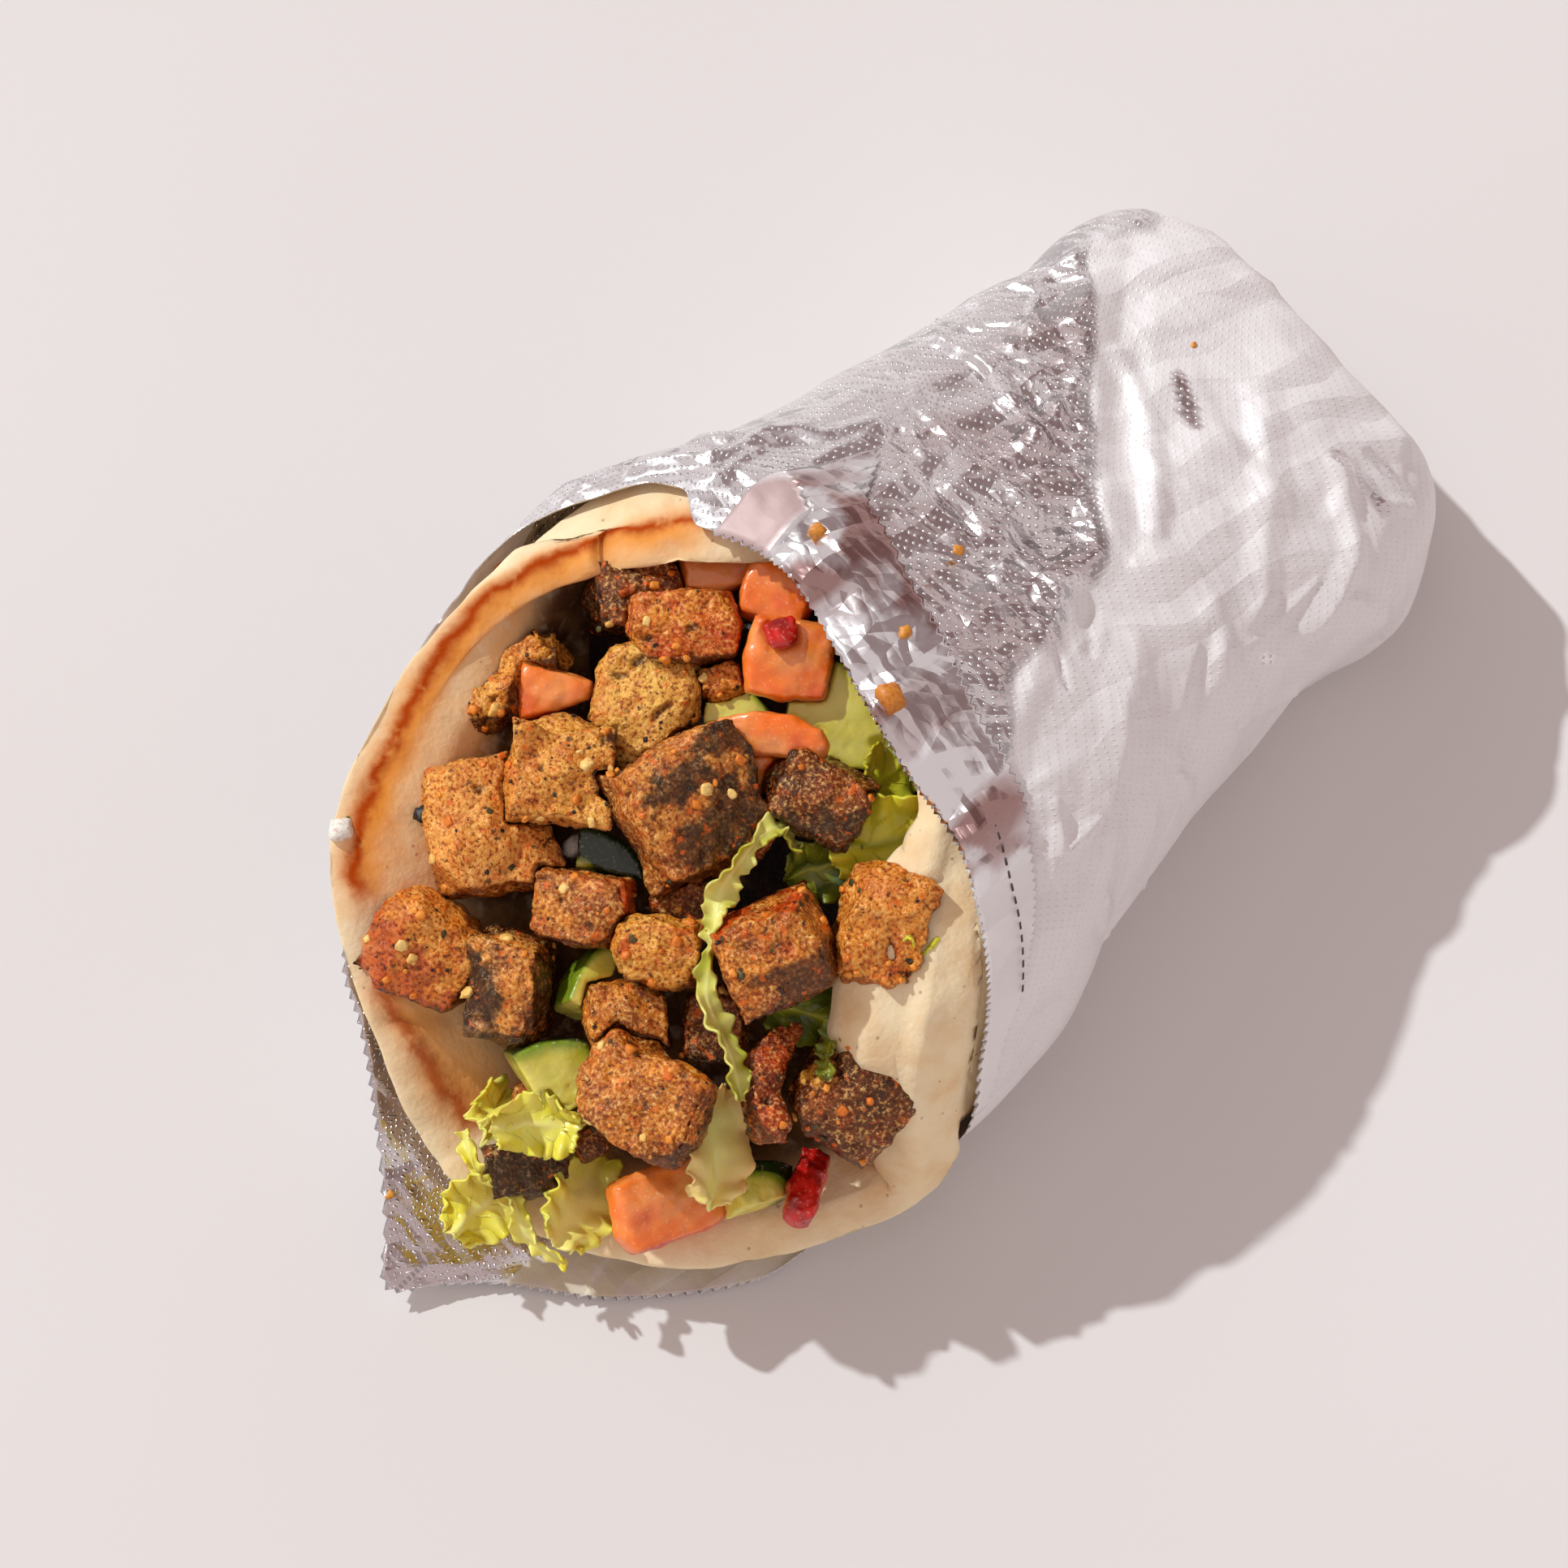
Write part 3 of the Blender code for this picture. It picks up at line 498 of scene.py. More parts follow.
def foil_look(tree):
    uv = node(tree, "UVMap", uv_map="wrap").outputs[0]
    parts = node(tree, "SeparateXYZ", {0: uv}).outputs[:2]
    waves = [math_node(tree, "COSINE", times(tree, part, math.tau / DOT_PITCH)) for part in parts]
    both = math_node(tree, "ABSOLUTE", math_node(tree, "ADD", *waves))
    dots = times(tree, ramp(tree, both, 1.5, 1.97), attribute(tree, "emboss"))
    pale, facets = attribute(tree, "pale"), triangle_waves(tree, *FACETS)
    # Painted reflection: the dim reddish room seen in the dotted foil, thinned over the dots and
    # varying with the facets.
    tint = times(tree, attribute(tree, "tint"), ramp(tree, dots, 0.35, 0.1))
    tint = times(tree, tint, scaled(tree, ramp(tree, facets, 0.42, 0.56), 0.6, 0.4))
    colour = blend(tree, tint, blend(tree, pale, FOIL_COLOUR, MATTE_COLOUR), PAINTED_REFLECTION)
    wet = times(tree, attribute(tree, "juice"), ramp(tree, grain(tree, 4.0), 0.3, 0.6))
    colour = blend(tree, times(tree, wet, 0.3), colour, JUICE)
    roughness = scaled(tree, grain(tree, 12.0, 3.0), 0.1, scaled(tree, pale, 0.34, 0.17))
    metallic = scaled(tree, pale, -0.85, 1.0)
    strong = scaled(tree, attribute(tree, "crisp"), 1.0, 0.25)
    broad = relief(tree, times(tree, facets, strong), 3.4)
    small = times(tree, strong, scaled(tree, pale, -0.65, 1.0))
    small = times(tree, triangle_waves(tree, *FINE_FACETS), small)
    fine = relief(tree, small, 0.8, 1.0, broad)
    fine = relief(tree, grain(tree, 1.2, 3.0), 0.05, 0.6, fine)
    normal = relief(tree, dots, 0.17, 1.0, fine)
    return {"Base_Color": colour, "Roughness": roughness, "Metallic": metallic, "Normal": normal}


def from_line(points, line):
    """The distance, seen from above, from each point to a line of points."""
    nearest = np.full(len(points), 1e9)
    for start, end in itertools.pairwise(line):
        start, run = np.array(start), np.subtract(end, start)
        share = np.clip((points[:, :2] - start) @ run / (run @ run), 0, 1)
        away = points[:, :2] - start - share[:, None] * run
        nearest = np.minimum(nearest, np.linalg.norm(away, axis=1))
    return nearest


def folded(points, top):
    """The height of the named folds, which lie on top of the wrap."""
    near = points + 1.2 * drift(points, 9, 1)
    folds = [
        rise * np.maximum(0, 1 - from_line(near, line) / width) for rise, width, line in FOLDS
    ]
    return sum(folds) * top


def creased(points, normals, rng):
    """The height of short straight creases scattered all over."""
    height = np.zeros(len(points))
    for start in rng.choice(len(points), CREASES):
        run = np.cross(normals[start], rng.normal(size=3))
        run *= rng.uniform(*CREASE_LENGTH) / np.linalg.norm(run)
        away = points - points[start]
        share = np.clip(away @ run / (run @ run), 0, 1)
        width = rng.uniform(*CREASE_WIDTH) * (1 - 0.6 * np.abs(2 * share - 1))
        distance = np.linalg.norm(away - share[:, None] * run, axis=1)
        rise = rng.uniform(*CREASE_HEIGHT) * rng.choice((-1, 1))
        height += rise * np.maximum(0, 1 - distance / width)
    return height


def past_fold(points):
    """How far each point lies past the long fold, toward the tail."""
    across, along = np.array(DARK_TO_PALE[::-1]).T
    return 0.75 * (points[:, 0] - np.interp(points[:, 1], along, across))


def reaches(line):
    """The distance along a line to each of its points."""
    steps = np.linalg.norm(np.diff(line, axis=0), axis=-1).cumsum(axis=0)
    return np.concatenate([np.zeros((1, *steps.shape[1:])), steps])


def arc_lengths(rows):
    """Lengths over a grid of points: round each row from its top, and along each column."""
    around = reaches(rows.swapaxes(0, 1)).T
    around -= around[:, [rows.shape[1] // 2]]
    return np.stack([around, reaches(rows)], axis=-1).reshape(-1, 2)


def at_lengths(line, lengths):
    """Points at these distances along a line of points."""
    reach = reaches(line)
    return np.stack([np.interp(lengths, reach, line[:, axis]) for axis in range(3)], axis=1)


def foil_form():
    """The crumpled foil as rows from the tail to the mouth."""
    rng = np.random.default_rng(7)
    rows = leaning_rows(0, edge_points(FOIL_EDGE, FOIL_COLUMNS), FOIL_STEPS)
    points, outward = rows.reshape(-1, 3), grid_normals(rows).reshape(-1, 3)
    top = smooth_step(outward[:, 2], 0.1, 0.5)
    to_tail = smooth_step(points[:, 1], 20, 90)
    rough = 0.45 + 0.55 * to_tail + 0.25 * smooth_step(-points[:, 0], 0, 30)
    height = (0.9 + 0.9 * to_tail) * crumple(points, 15, 3) + 0.35 * crumple(points, 5.5, 4)
    height = height * rough + folded(points, top)
    height += creased(points, outward, rng) * (0.6 + 0.4 * rough)
    from_mouth = np.repeat(np.arange(len(rows))[::-1], FOIL_COLUMNS)
    angle = np.tile(turns(FOIL_COLUMNS), len(rows))
    collar = smooth_step(angle, *CALM_FROM) * (1 - smooth_step(angle, *CALM_TO))
    calm = 0.2 + 0.8 * smooth_step(from_mouth, 0, 16)
    calm *= 1 - collar * (1 - smooth_step(from_mouth, 16, 26))
    points = points + outward * np.clip(height * calm, DEEPEST, HIGHEST)[:, None]
    points[:, 2] = np.maximum(points[:, 2], LOWEST)
    return tucked(points.reshape(rows.shape))


def tucked(rows):
    """The rows with the mouth's edge drawn back under the rim of the bread on one side."""
    back = TUCK * span(turns(FOIL_COLUMNS), *TUCK_ANGLES, 14)
    for column in np.flatnonzero(back):
        reach = reaches(rows[:, column])
        shorter = reach * (1 - back[column] / reach[-1])
        rows[:, column] = at_lengths(rows[:, column], shorter)
    return rows


def toothed(rows, teeth):
    """One more row beyond the last, where every other column reaches out in a tooth."""
    reach = np.where(np.arange(rows.shape[1]) % 2 == 0, teeth, 0.0)
    return rows[-1] + unit(rows[-1] - rows[-3]) * reach[:, None]


def build_foil(rows, finish):
    angle = turns(FOIL_COLUMNS)
    hem = (angle > HEM_ANGLES[0]) & (angle < HEM_ANGLES[1])
    tips = toothed(rows, np.where(hem, 0, TOOTH))
    lining = (rows - grid_normals(rows) * LINING_GAP)[-1 : -LINING_ROWS - 1 : -1]
    everything = np.concatenate([rows, tips[None], lining])
    flat = everything.reshape(-1, 3)
    outside = np.repeat(np.arange(len(everything)) <= len(rows), FOIL_COLUMNS)
    angle = np.tile(angle, len(everything))
    past = past_fold(flat) + 3.0 * crumple(flat, 9, 8)
    top = smooth_step(grid_normals(everything).reshape(-1, 3)[:, 2], 0.2, 0.7)
    rough = flat + 0.5 * crumple(flat, 6, 9)[:, None]
    slots = np.min([from_line(rough, line) for line in SLOTS], axis=0)
    tail_side = smooth_step(slots + 4 * (1 - top), 1.0, 1.4)
    tail_side = np.minimum(smooth_step(past, -0.5, 1.5), tail_side)
    corner = (~outside) & ((angle > CORNER_ANGLES[0]) | (angle < CORNER_ANGLES[1]))
    pale = np.where(outside, tail_side, np.where(corner, 0.0, 1.0))
    crisp = smooth_step(-past, -1, 2) * (1 - smooth_step(-past, 12, 24)) * top
    # The tint mask says where the painted reflection lies: on the dotted foil that faces up,
    # slots included, and at half strength over the inner side.
    tint = 0.45 * (1 - tail_side) * top * smooth_step(flat[:, 0], -34, -24)
    masks = {
        "emboss": np.where(outside, 1 - 0.62 * pale, np.where(corner, 1.0, 0.12)),
        "pale": pale,
        "crisp": np.where(outside, 0.3 + 0.66 * crisp + 0.1 * tail_side, 0.3),
        "tint": np.where(outside, tint, 0.5),
        "juice": np.where(outside | corner, 0.0, 1.0) * (angle < JUICY_BELOW),
    }
    faces = [*grid_faces(len(everything), FOIL_COLUMNS), range(FOIL_COLUMNS)[::-1]]
    uv = arc_lengths(everything)
    add_mesh("foil_sheet", flat, faces, finish, "foil", ["foil_wrap"], None, masks, uv)


# The slits' dark grey is painted shade: the shadow seen in the gaps under the lifted edge.
def slit_shadow_look(tree):
    return {"Base_Color": blend(tree, grain(tree, 2.0), rgb(44, 36, 36), rgb(84, 72, 72))}


def build_slit_shadows(rows):
    """A line of short dark plates along the mouth's edge on one side: painted shade for the
    shadowed gaps of its slits.
    """
    angle = turns(FOIL_COLUMNS)
    columns = np.flatnonzero((angle > SLIT_ANGLES[0]) & (angle < SLIT_ANGLES[1]))
    outward = grid_normals(rows)[-8, columns] * SLIT_LIFT
    lines = [
        np.array([at_lengths(rows[::-1, column], [away])[0] for column in columns]) + outward
        for away in (SLITS_AWAY, SLITS_AWAY + SLIT_WIDTH)
    ]
    points, faces = [], []
    for start in np.arange(0, reaches(lines[0])[-1] - SLIT, SLIT + SLIT_GAP):
        grid = np.stack([at_lengths(line, [start, start + SLIT]) for line in lines])
        corners, sides = plate(grid, SLIT_THICK)
        faces += [[index + len(corners) * len(points) for index in side] for side in sides]
        points.append(corners)
    finish = shader("slit_shadow", slit_shadow_look, Roughness=0.6)
    add_mesh("slit_shadows", np.concatenate(points), faces, finish, "foil")


def build_collar(rows, finish):
    """The mouth's edge turned back over the wrap: a crumpled strip, toothed along both edges."""
    first, last = (round(angle * FOIL_COLUMNS / 360) for angle in COLLAR_ANGLES)
    columns = np.arange(first, last + 1)
    end = (columns - first + 1) / (last - first + 1)
    tooth = TOOTH * (columns % 2)
    width = COLLAR_WIDTH * end**COLLAR_TAPER + COLLAR_CORNER * smooth_step(end, 0.88, 1.0) + tooth
    share = np.linspace(0, 1, COLLAR_STEPS)
    grid = np.array([at_lengths(rows[::-1, c], share * w) for c, w in zip(columns, width)])
    outward = grid_normals(rows)[-COLLAR_STEPS // 2, columns]
    flat = grid.reshape(-1, 3)
    shiny = np.repeat(smooth_step(end, 0.3, 0.5), COLLAR_STEPS)
    bulge = np.tile(np.sin(math.pi * share), len(grid)) ** 0.5
    lift = 0.6 + 0.6 * bulge * shiny
    lift += (0.2 + 0.8 * shiny) * (0.7 * crumple(flat, 8, 21) + 0.2 * crumple(flat, 3, 22))
    grid += outward[:, None] * np.maximum(lift, 0.25).reshape(len(grid), -1, 1)
    grid[:, 0] += unit(grid[:, 0] - grid[:, 2]) * (0.2 + tooth)[:, None]
    points, faces = plate(grid, COLLAR_THICK)
    near_rim = np.tile(smooth_step(0.5 - share, 0, 0.06), len(grid))
    last_fold = np.repeat(smooth_step(end, 0.91, 0.92), COLLAR_STEPS) * near_rim
    # The blotches and the last fold carry the painted reflection of the dim room on the shiny
    # collar.
    blotches = smooth_step(crumple(flat, 10, 33) + 0.5 * lumps(flat, 6, 31), 0.0, 0.2)
    masks = {
        "emboss": np.zeros(len(flat)),
        "pale": np.maximum(1 - shiny, last_fold),
        "crisp": 0.1 + 0.4 * shiny * (1 - last_fold),
        "tint": blotches * shiny * (1 - last_fold) + 0.8 * last_fold,
        "juice": np.zeros(len(flat)),
    }
    masks = {name: np.tile(values, 2) for name, values in masks.items()}
    uv = np.zeros((len(points), 2))
    add_mesh("collar_sheet", points, faces, finish, "foil", ["foil_collar"], None, masks, uv)


# ---- bread

# The darkest is painted shade, for the bread deep inside the wrap.
CREAM, WARM, INSIDE_SHADE = rgb(246, 224, 184), rgb(226, 160, 86), rgb(70, 30, 8)
# The orange is a painted glow of light through the thin bread beside the toast line, and also the
# colour of a browned spot.
GLOW_AND_BROWNING, TOAST = rgb(240, 146, 20), rgb(178, 66, 0)
LIP_ROWS, LIP_RISE, FROM_FOIL = 8, 2.0, 1.6
FLAP_FROM, FLAP_TO = (99.5, 101), (138, 160)  # where the folded-in flap comes up and dies away
FLAP_CREASES = (6.5, 10.5)  # how far inside the rim it is creased
PLEAT_ANGLE, NOTCH_ANGLE = 318, 213
LEAN_IN, LEAN_ANGLES = 4.0, (248, 365)  # how far, and where, the inner wall leans in as it falls
HEM_DRAW, HEM_SPAN = 5.0, (156, 214)  # how far, and where, the rim lies back under the hem

# The way round the rim, and how deep inside it the bread starts to be painted dark, as painted
# shade.
SHADE_FROM = (
    (0, 9), (30, 10), (56, 16), (88, 18), (97, 3), (165, 2.5), (178, -1), (212, -1), (226, 14),
    (245, 18), (295, 18), (312, 11), (360, 9),
)

# The lines that the griddle browned: the way round the rim, and the depth from its crest there.
TOAST_LINE = (
    (206, -6.5), (216, -5.6), (225, -3.8), (247, -1.3), (266, 1.1), (292, 1.7), (300, 2.4),
)
TOAST_STREAK = ((308, 0.5), (318, 2.2), (335, 4.5), (352, 6.5))
STREAK_START = 303
TOAST_SPOT = (72, 14)


def hill(value, width):
    """1 where the value is 0, falling smoothly to 0 about this far from it."""
    return np.exp(-((value / width) ** 2))


def bell(tree, value, width):
    """The same hill as nodes."""
    square = times(tree, value, value)
    return math_node(tree, "EXPONENT", times(tree, square, -1 / width**2))


def bread_look(tree):
    spots = (
        (7.0, 4.0, 0.45, 0.7, 0.4, rgb(226, 172, 106)),
        (3.0, 3.0, 0.55, 0.7, 0.3, rgb(250, 232, 202)),
        (3.4, None, 0.1, 0.06, 0.5, rgb(150, 84, 34)),
    )
    look = painted(tree, spots, ((5.0, 3.0, 0.7, 0.6), (0.9, 4.0, 0.18, 0.7)))
    wander = scaled(tree, grain(tree, 5.0, 4.0), 4.4, -2.2)
    away = math_node(tree, "ADD", attribute(tree, "line"), wander)
    browned = attribute(tree, "browned")
    # Just inside the toast line: its browned halo together with a painted glow of light through
    # the thin bread.
    glow_and_halo = times(tree, bell(tree, math_node(tree, "ADD", away, -1.6), 4.4), browned)
    colour = blend(tree, times(tree, glow_and_halo, 0.85), look["Base_Color"], GLOW_AND_BROWNING)
    broken = times(tree, browned, ramp(tree, grain(tree, 3.2, 3.0), 0.2, 0.42))
    colour = blend(tree, times(tree, bell(tree, away, 1.4), broken), colour, TOAST)
    return {**look, "Base_Color": colour}


def inside_of(points, skin, gap):
    """The points, with each that comes nearer to the skin than the gap pushed in again."""
    corners = [Vector(point) for point in skin.reshape(-1, 3)]
    tree = BVHTree.FromPolygons(corners, grid_faces(len(skin), skin.shape[1]))
    height = skin[-1].mean(axis=0)[2]
    for point in points:
        nearest, normal, _, _ = tree.find_nearest(Vector(point))
        inside = Vector((nearest.x * 0.3, min(nearest.y, TAIL_START), height))
        if normal.dot(nearest - inside) < 0:
            normal.negate()
        away = Vector(point) - nearest
        if away.length < max(gap, 1.3 * away.dot(normal)):
            point[:] = nearest - normal * gap
    return points


def pita_skin(depth):
    flap = FLAP_WIDTH * bump(turns(PITA_COLUMNS), *FLAP_ANGLES) * depth / PITA_THICK
    edge = inward(edge_points(PITA_RIM, PITA_COLUMNS), depth + flap)
    edge[:, 1] += HEM_DRAW * span(turns(PITA_COLUMNS), *HEM_SPAN, 20)
    return leaning_rows(FOIL_THICK + FOIL_TO_PITA + depth, edge, PITA_STEPS)


def pita_form():
    """Rows over the bread, from its tail outside over the rim and back inside, with depths."""
    skin = inward(edge_points(FOIL_EDGE, COARSE_COLUMNS), FOIL_THICK)
    foil = leaning_rows(FOIL_THICK, skin, COARSE_STEPS)
    outside, inside = pita_skin(0), pita_skin(PITA_THICK)
    outside = inside_of(outside.reshape(-1, 3), foil, FROM_FOIL).reshape(outside.shape)
    rise = LIP_RISE * unit(outside[-1] - outside[-3] + inside[-1] - inside[-3])
    middle, half = (outside[-1] + inside[-1]) / 2, (outside[-1] - inside[-1]) / 2
    around = np.linspace(0, math.pi, LIP_ROWS + 2)[1:-1]
    lip = [middle + half * math.cos(turn) + rise * math.sin(turn) for turn in around]
    rows = np.concatenate([outside, lip, inside[::-1]])
    depth = reaches(rows)
    depth -= depth[len(outside) + LIP_ROWS // 2]
    way = (inward(outside[-1], 1.0) - outside[-1]) * (1, 1, 0.3)
    lean = LEAN_IN * smooth_step(depth, 2.5, 15) * (1 - smooth_step(depth, 26, 50))
    lean *= span(turns(PITA_COLUMNS), *LEAN_ANGLES, 25)
    return rows + way * lean[..., None], depth


def build_pita():
    rows, depth = pita_form()
    outward = grid_normals(rows).reshape(-1, 3)
    flat, depth = rows.reshape(-1, 3), depth.ravel()
    angle = np.tile(turns(PITA_COLUMNS), len(rows)) + 1.6 * lumps(flat, 3, 12)
    swell = 0.45 * lumps(flat, 12, 5) + 0.28 * lumps(flat, 5, 6) + 0.1 * lumps(flat, 2.2, 7)
    flap = smooth_step(angle, *FLAP_FROM) * (1 - smooth_step(angle, *FLAP_TO))
    flap *= smooth_step(depth, -4, -2)
    swell += 1.9 * flap + 0.5 * flap * ridges(flat * (1, 0.5, 0.4), 7, 3)
    for at in FLAP_CREASES:
        swell -= 0.7 * flap * hill(depth - at - 0.8 * lumps(flat, 10, at), 0.7)
    pleat = hill(angle - PLEAT_ANGLE - 3 * depth / PITA_THICK, 1.6) * smooth_step(depth, -2, 1)
    notch = hill(angle - NOTCH_ANGLE, 2.2) * smooth_step(4 - np.abs(depth), 0, 3)
    swell -= 0.9 * pleat + 0.7 * notch
    flat = flat + outward * swell[:, None]

    line, streak = (np.interp(angle, *zip(*course)) for course in (TOAST_LINE, TOAST_STREAK))
    main = angle < STREAK_START
    lines = span(angle, 205, STREAK_START, 10), 0.8 * span(angle, 306, 354, 9)
    masks = {"line": depth - np.where(main, line, streak), "browned": np.where(main, *lines)}
    spot = hill(angle - TOAST_SPOT[0], 9) * hill(depth - TOAST_SPOT[1], 3)
    edge = hill(depth - 2, 2.4) * np.clip(0.5 + lumps(flat, 9, 14), 0, 1)
    inner = smooth_step(depth, 2, 16) * (0.75 + 0.25 * lumps(flat, 8, 11))
    dark = np.interp(angle, *zip(*SHADE_FROM))
    # Deeper inside, the bread is painted warmer, partly its own colour and partly painted shade;
    # far inside the rim it is painted dark, as painted shade.
    paint = mixed(
        CREAM,
        (WARM, np.clip(0.75 * inner, 0, 1)),
        (WARM, 0.4 * edge),
        (GLOW_AND_BROWNING, np.clip(1.3 * spot, 0, 0.95)),
        (INSIDE_SHADE, 0.94 * smooth_step(depth - dark, 0, 7 + 0.25 * dark)),
    )
    soft = {"Subsurface_Weight": 0.1, "Subsurface_Scale": 0.002}
    finish = shader("bread", bread_look, Roughness=0.7, Specular_IOR_Level=0.08, **soft)
    faces = grid_faces(len(rows), PITA_COLUMNS)
    faces += [range(PITA_COLUMNS)[::-1], range(len(flat) - PITA_COLUMNS, len(flat))]
    add_mesh("pita_bread", flat, faces, finish, "bread", ["pita"], paint, masks)


# ---- pieces of the filling

# The two ways across the mouth and the way out of it, in which the sides of a piece are named.
RIGHT = np.array((0.67, 0.74, 0))
UP = np.array((-0.69, 0.63, 0.34))
OUT = np.array((0.25, -0.23, 0.94))


def toward(right, up, out=0.0):
    return unit(right * RIGHT + up * UP + out * OUT)


def relaxed(points, ends, times):
    """The points, each moved toward its neighbours this many times."""
    count = np.bincount(ends.ravel(), minlength=len(points))[:, None]
    for _ in range(times):
        total = [
            np.bincount(ends[:, 0], points[ends[:, 1], axis], len(points))
            + np.bincount(ends[:, 1], points[ends[:, 0], axis], len(points))
            for axis in range(3)
        ]
        points = 0.4 * points + 0.6 * np.stack(total, axis=1) / count
    return points


def remeshed(name, voxel, rounds):
    """A CAD node remeshed evenly and relaxed: its points in millimetres, quads and edges."""
    copy = placed("remesh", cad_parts[name].data.copy())
    remesh = copy.modifiers.new("remesh", "REMESH")
    remesh.mode, remesh.voxel_size = "VOXEL", voxel * MM
    graph = bpy.context.evaluated_depsgraph_get()
    data = bpy.data.meshes.new_from_object(copy.evaluated_get(graph))
    bpy.data.objects.remove(copy, do_unlink=True)
    points = np.empty(len(data.vertices) * 3, np.float32)
    data.vertices.foreach_get("co", points)
    faces = [tuple(face.vertices) for face in data.polygons]
    ends = np.empty(len(data.edges) * 2, np.int32)
    data.edges.foreach_get("vertices", ends)
    bpy.data.meshes.remove(data)
    points, ends = points.reshape(-1, 3).astype(float) / MM - BODY_SHIFT, ends.reshape(-1, 2)
    return relaxed(points, ends, rounds), faces, ends


def cuts(kind, count, voxel, rounds):
    """The number, name, points, faces and edges of each CAD node of a kind, remeshed."""
    for number in range(1, count + 1):
        name = f"{kind}_{number:02d}"
        yield number, name, *remeshed(name, voxel, rounds)


def normals_of(points, faces):
    quads = np.array([face if len(face) == 4 else (*face, face[-1]) for face in faces])
    corner = points[quads]
    facing = np.cross(corner[:, 2] - corner[:, 0], corner[:, 3] - corner[:, 1])
    total = [
        sum(np.bincount(quads[:, k], facing[:, axis], len(points)) for k in range(4))
        for axis in range(3)
    ]
    return unit(np.stack(total, axis=1))


# ---- meat

MEAT_VOXEL, GRANULE = 0.44, 1.7

SANDY, TAN = rgb(248, 184, 104), rgb(234, 158, 70)
OLIVE, GOLD = rgb(228, 172, 74), rgb(228, 144, 40)
SAND_OLIVE, RUST, ROSE = rgb(252, 208, 112), rgb(206, 78, 14), rgb(196, 88, 44)
BROWN, DARK, CHAR = rgb(154, 80, 22), rgb(70, 22, 8), rgb(30, 10, 5)
RAISED = {16: 3.0}  # how far a piece stands out of the heap further than its solid

# Each piece: its light and deep colours, then its crusts and painted shade, each a colour with
# the side it is on and how far it reaches round from there, from 1 for nowhere to -1 for all
# over; dark ones on sides away from the light are painted shade.
MEATS = (
    (TAN, BROWN, (CHAR, (0.9, 0.5), 0.2), (DARK, (0.3, -1), 0.6)),
    (TAN, OLIVE, (SANDY, (-0.3, -1), 0.5), (DARK, (1, -0.1, -0.1), 0.4)),
    (GOLD, BROWN, (DARK, (0.8, -0.7), 0.2), (RUST, (-0.2, 1, 0.6), 0.86)),
    (TAN, GOLD, (BROWN, (0.3, -1, -0.2), 0.5), (DARK, (1, -0.3, -0.3), 0.6)),
    (BROWN, DARK, (CHAR, (0.6, -0.6), 0.1), (CHAR, (-0.6, 0.6), 0.6)),
    (GOLD, OLIVE, (RUST, (0, 0.3, 1), 0.88), (DARK, (0.4, -1, -0.2), 0.6)),
    (TAN, BROWN, (DARK, (0.3, -1), 0.4), (RUST, (1, 0.2), 0.6)),
    (SANDY, TAN, (BROWN, (0.2, -1, -0.3), 0.6), (DARK, (1, -0.6, -0.3), 0.66)),
    (GOLD, TAN, (ROSE, (-0.9, -0.5), 0.05), (DARK, (0.4, -1), 0.55)),
    (TAN, DARK, (CHAR, (-0.7, -0.7), 0.2), (DARK, (1, -0.4), 0.35)),
    (GOLD, BROWN, (DARK, (0.3, -1, -0.2), 0.45)),
    (SAND_OLIVE, OLIVE, (BROWN, (0.4, -1, -0.2), 0.7)),
    (GOLD, RUST, (DARK, (0.2, -1, -0.2), 0.45), (RUST, (1, 0.6), 0.7)),
    (GOLD, BROWN, (DARK, (0.4, -1), 0.3)),
    (BROWN, DARK, (DARK, (-1, -0.3), 0.4), (OLIVE, (0, 1, 0.6), 0.8)),
    (OLIVE, GOLD, (DARK, (0.5, -0.8), 0.4), (DARK, (0, 1, -0.2), 0.6)),
    (RUST, DARK, (DARK, (-1, 0), 0.4)),
    (BROWN, DARK, (CHAR, (-0.5, -0.5), 0.3)),
    (GOLD, TAN, (RUST, (1, 0), 0.6)),
    (BROWN, DARK, (DARK, (0, -1), 0.2)),
    (BROWN, DARK, (CHAR, (0, -1), 0.2)),
    (DARK, CHAR, (CHAR, (0, -1), -0.2)),
    (TAN, BROWN, (DARK, (0, -1), 0.5)),
    (BROWN, DARK, (DARK, (0, -1), 0.4)),
)


def meat_look(tree):
    crust_and_shade, crumb = attribute(tree, "crust_and_shade"), grain(tree, 0.6, 4.0)
    # Painted shade in the hollows of the crumb's bump, and painted highlights on its raised
    # grains.
    low = times(tree, ramp(tree, crumb, 0.49, 0.33), 0.95)
    colour = blend(tree, low, attribute(tree, "paint"), rgb(156, 74, 20), "MULTIPLY")
    high = times(tree, ramp(tree, crumb, 0.52, 0.68), scaled(tree, crust_and_shade, -0.5, 0.65))
    colour = blend(tree, high, colour, rgb(255, 222, 156))
    spots = (
        (3.6, 4.0, 0.48, 0.68, 0.55, rgb(206, 122, 48), "MULTIPLY"),
        (1.6, 3.0, 0.62, 0.68, 0.7, rgb(232, 104, 14)),
        (1.3, 3.0, 0.37, 0.31, 0.85, rgb(74, 30, 12)),
        (2.0, None, 0.12, 0.07, 0.9, rgb(24, 14, 10)),
    )
    coarse = relief(tree, crumb, 0.36, 0.9)
    look = painted(tree, spots, ((0.28, 3.0, 0.16, 0.9),), coarse, colour)
    colour = blend(tree, 1.0, look["Base_Color"], rgb(255, 240, 206), "MULTIPLY")
    wet = ramp(tree, grain(tree, 1.1, 4.0), 0.4, 0.52)
    roughness = scaled(tree, wet, -0.46, scaled(tree, crust_and_shade, -0.26, 0.66))
    return {**look, "Base_Color": colour, "Roughness": roughness}


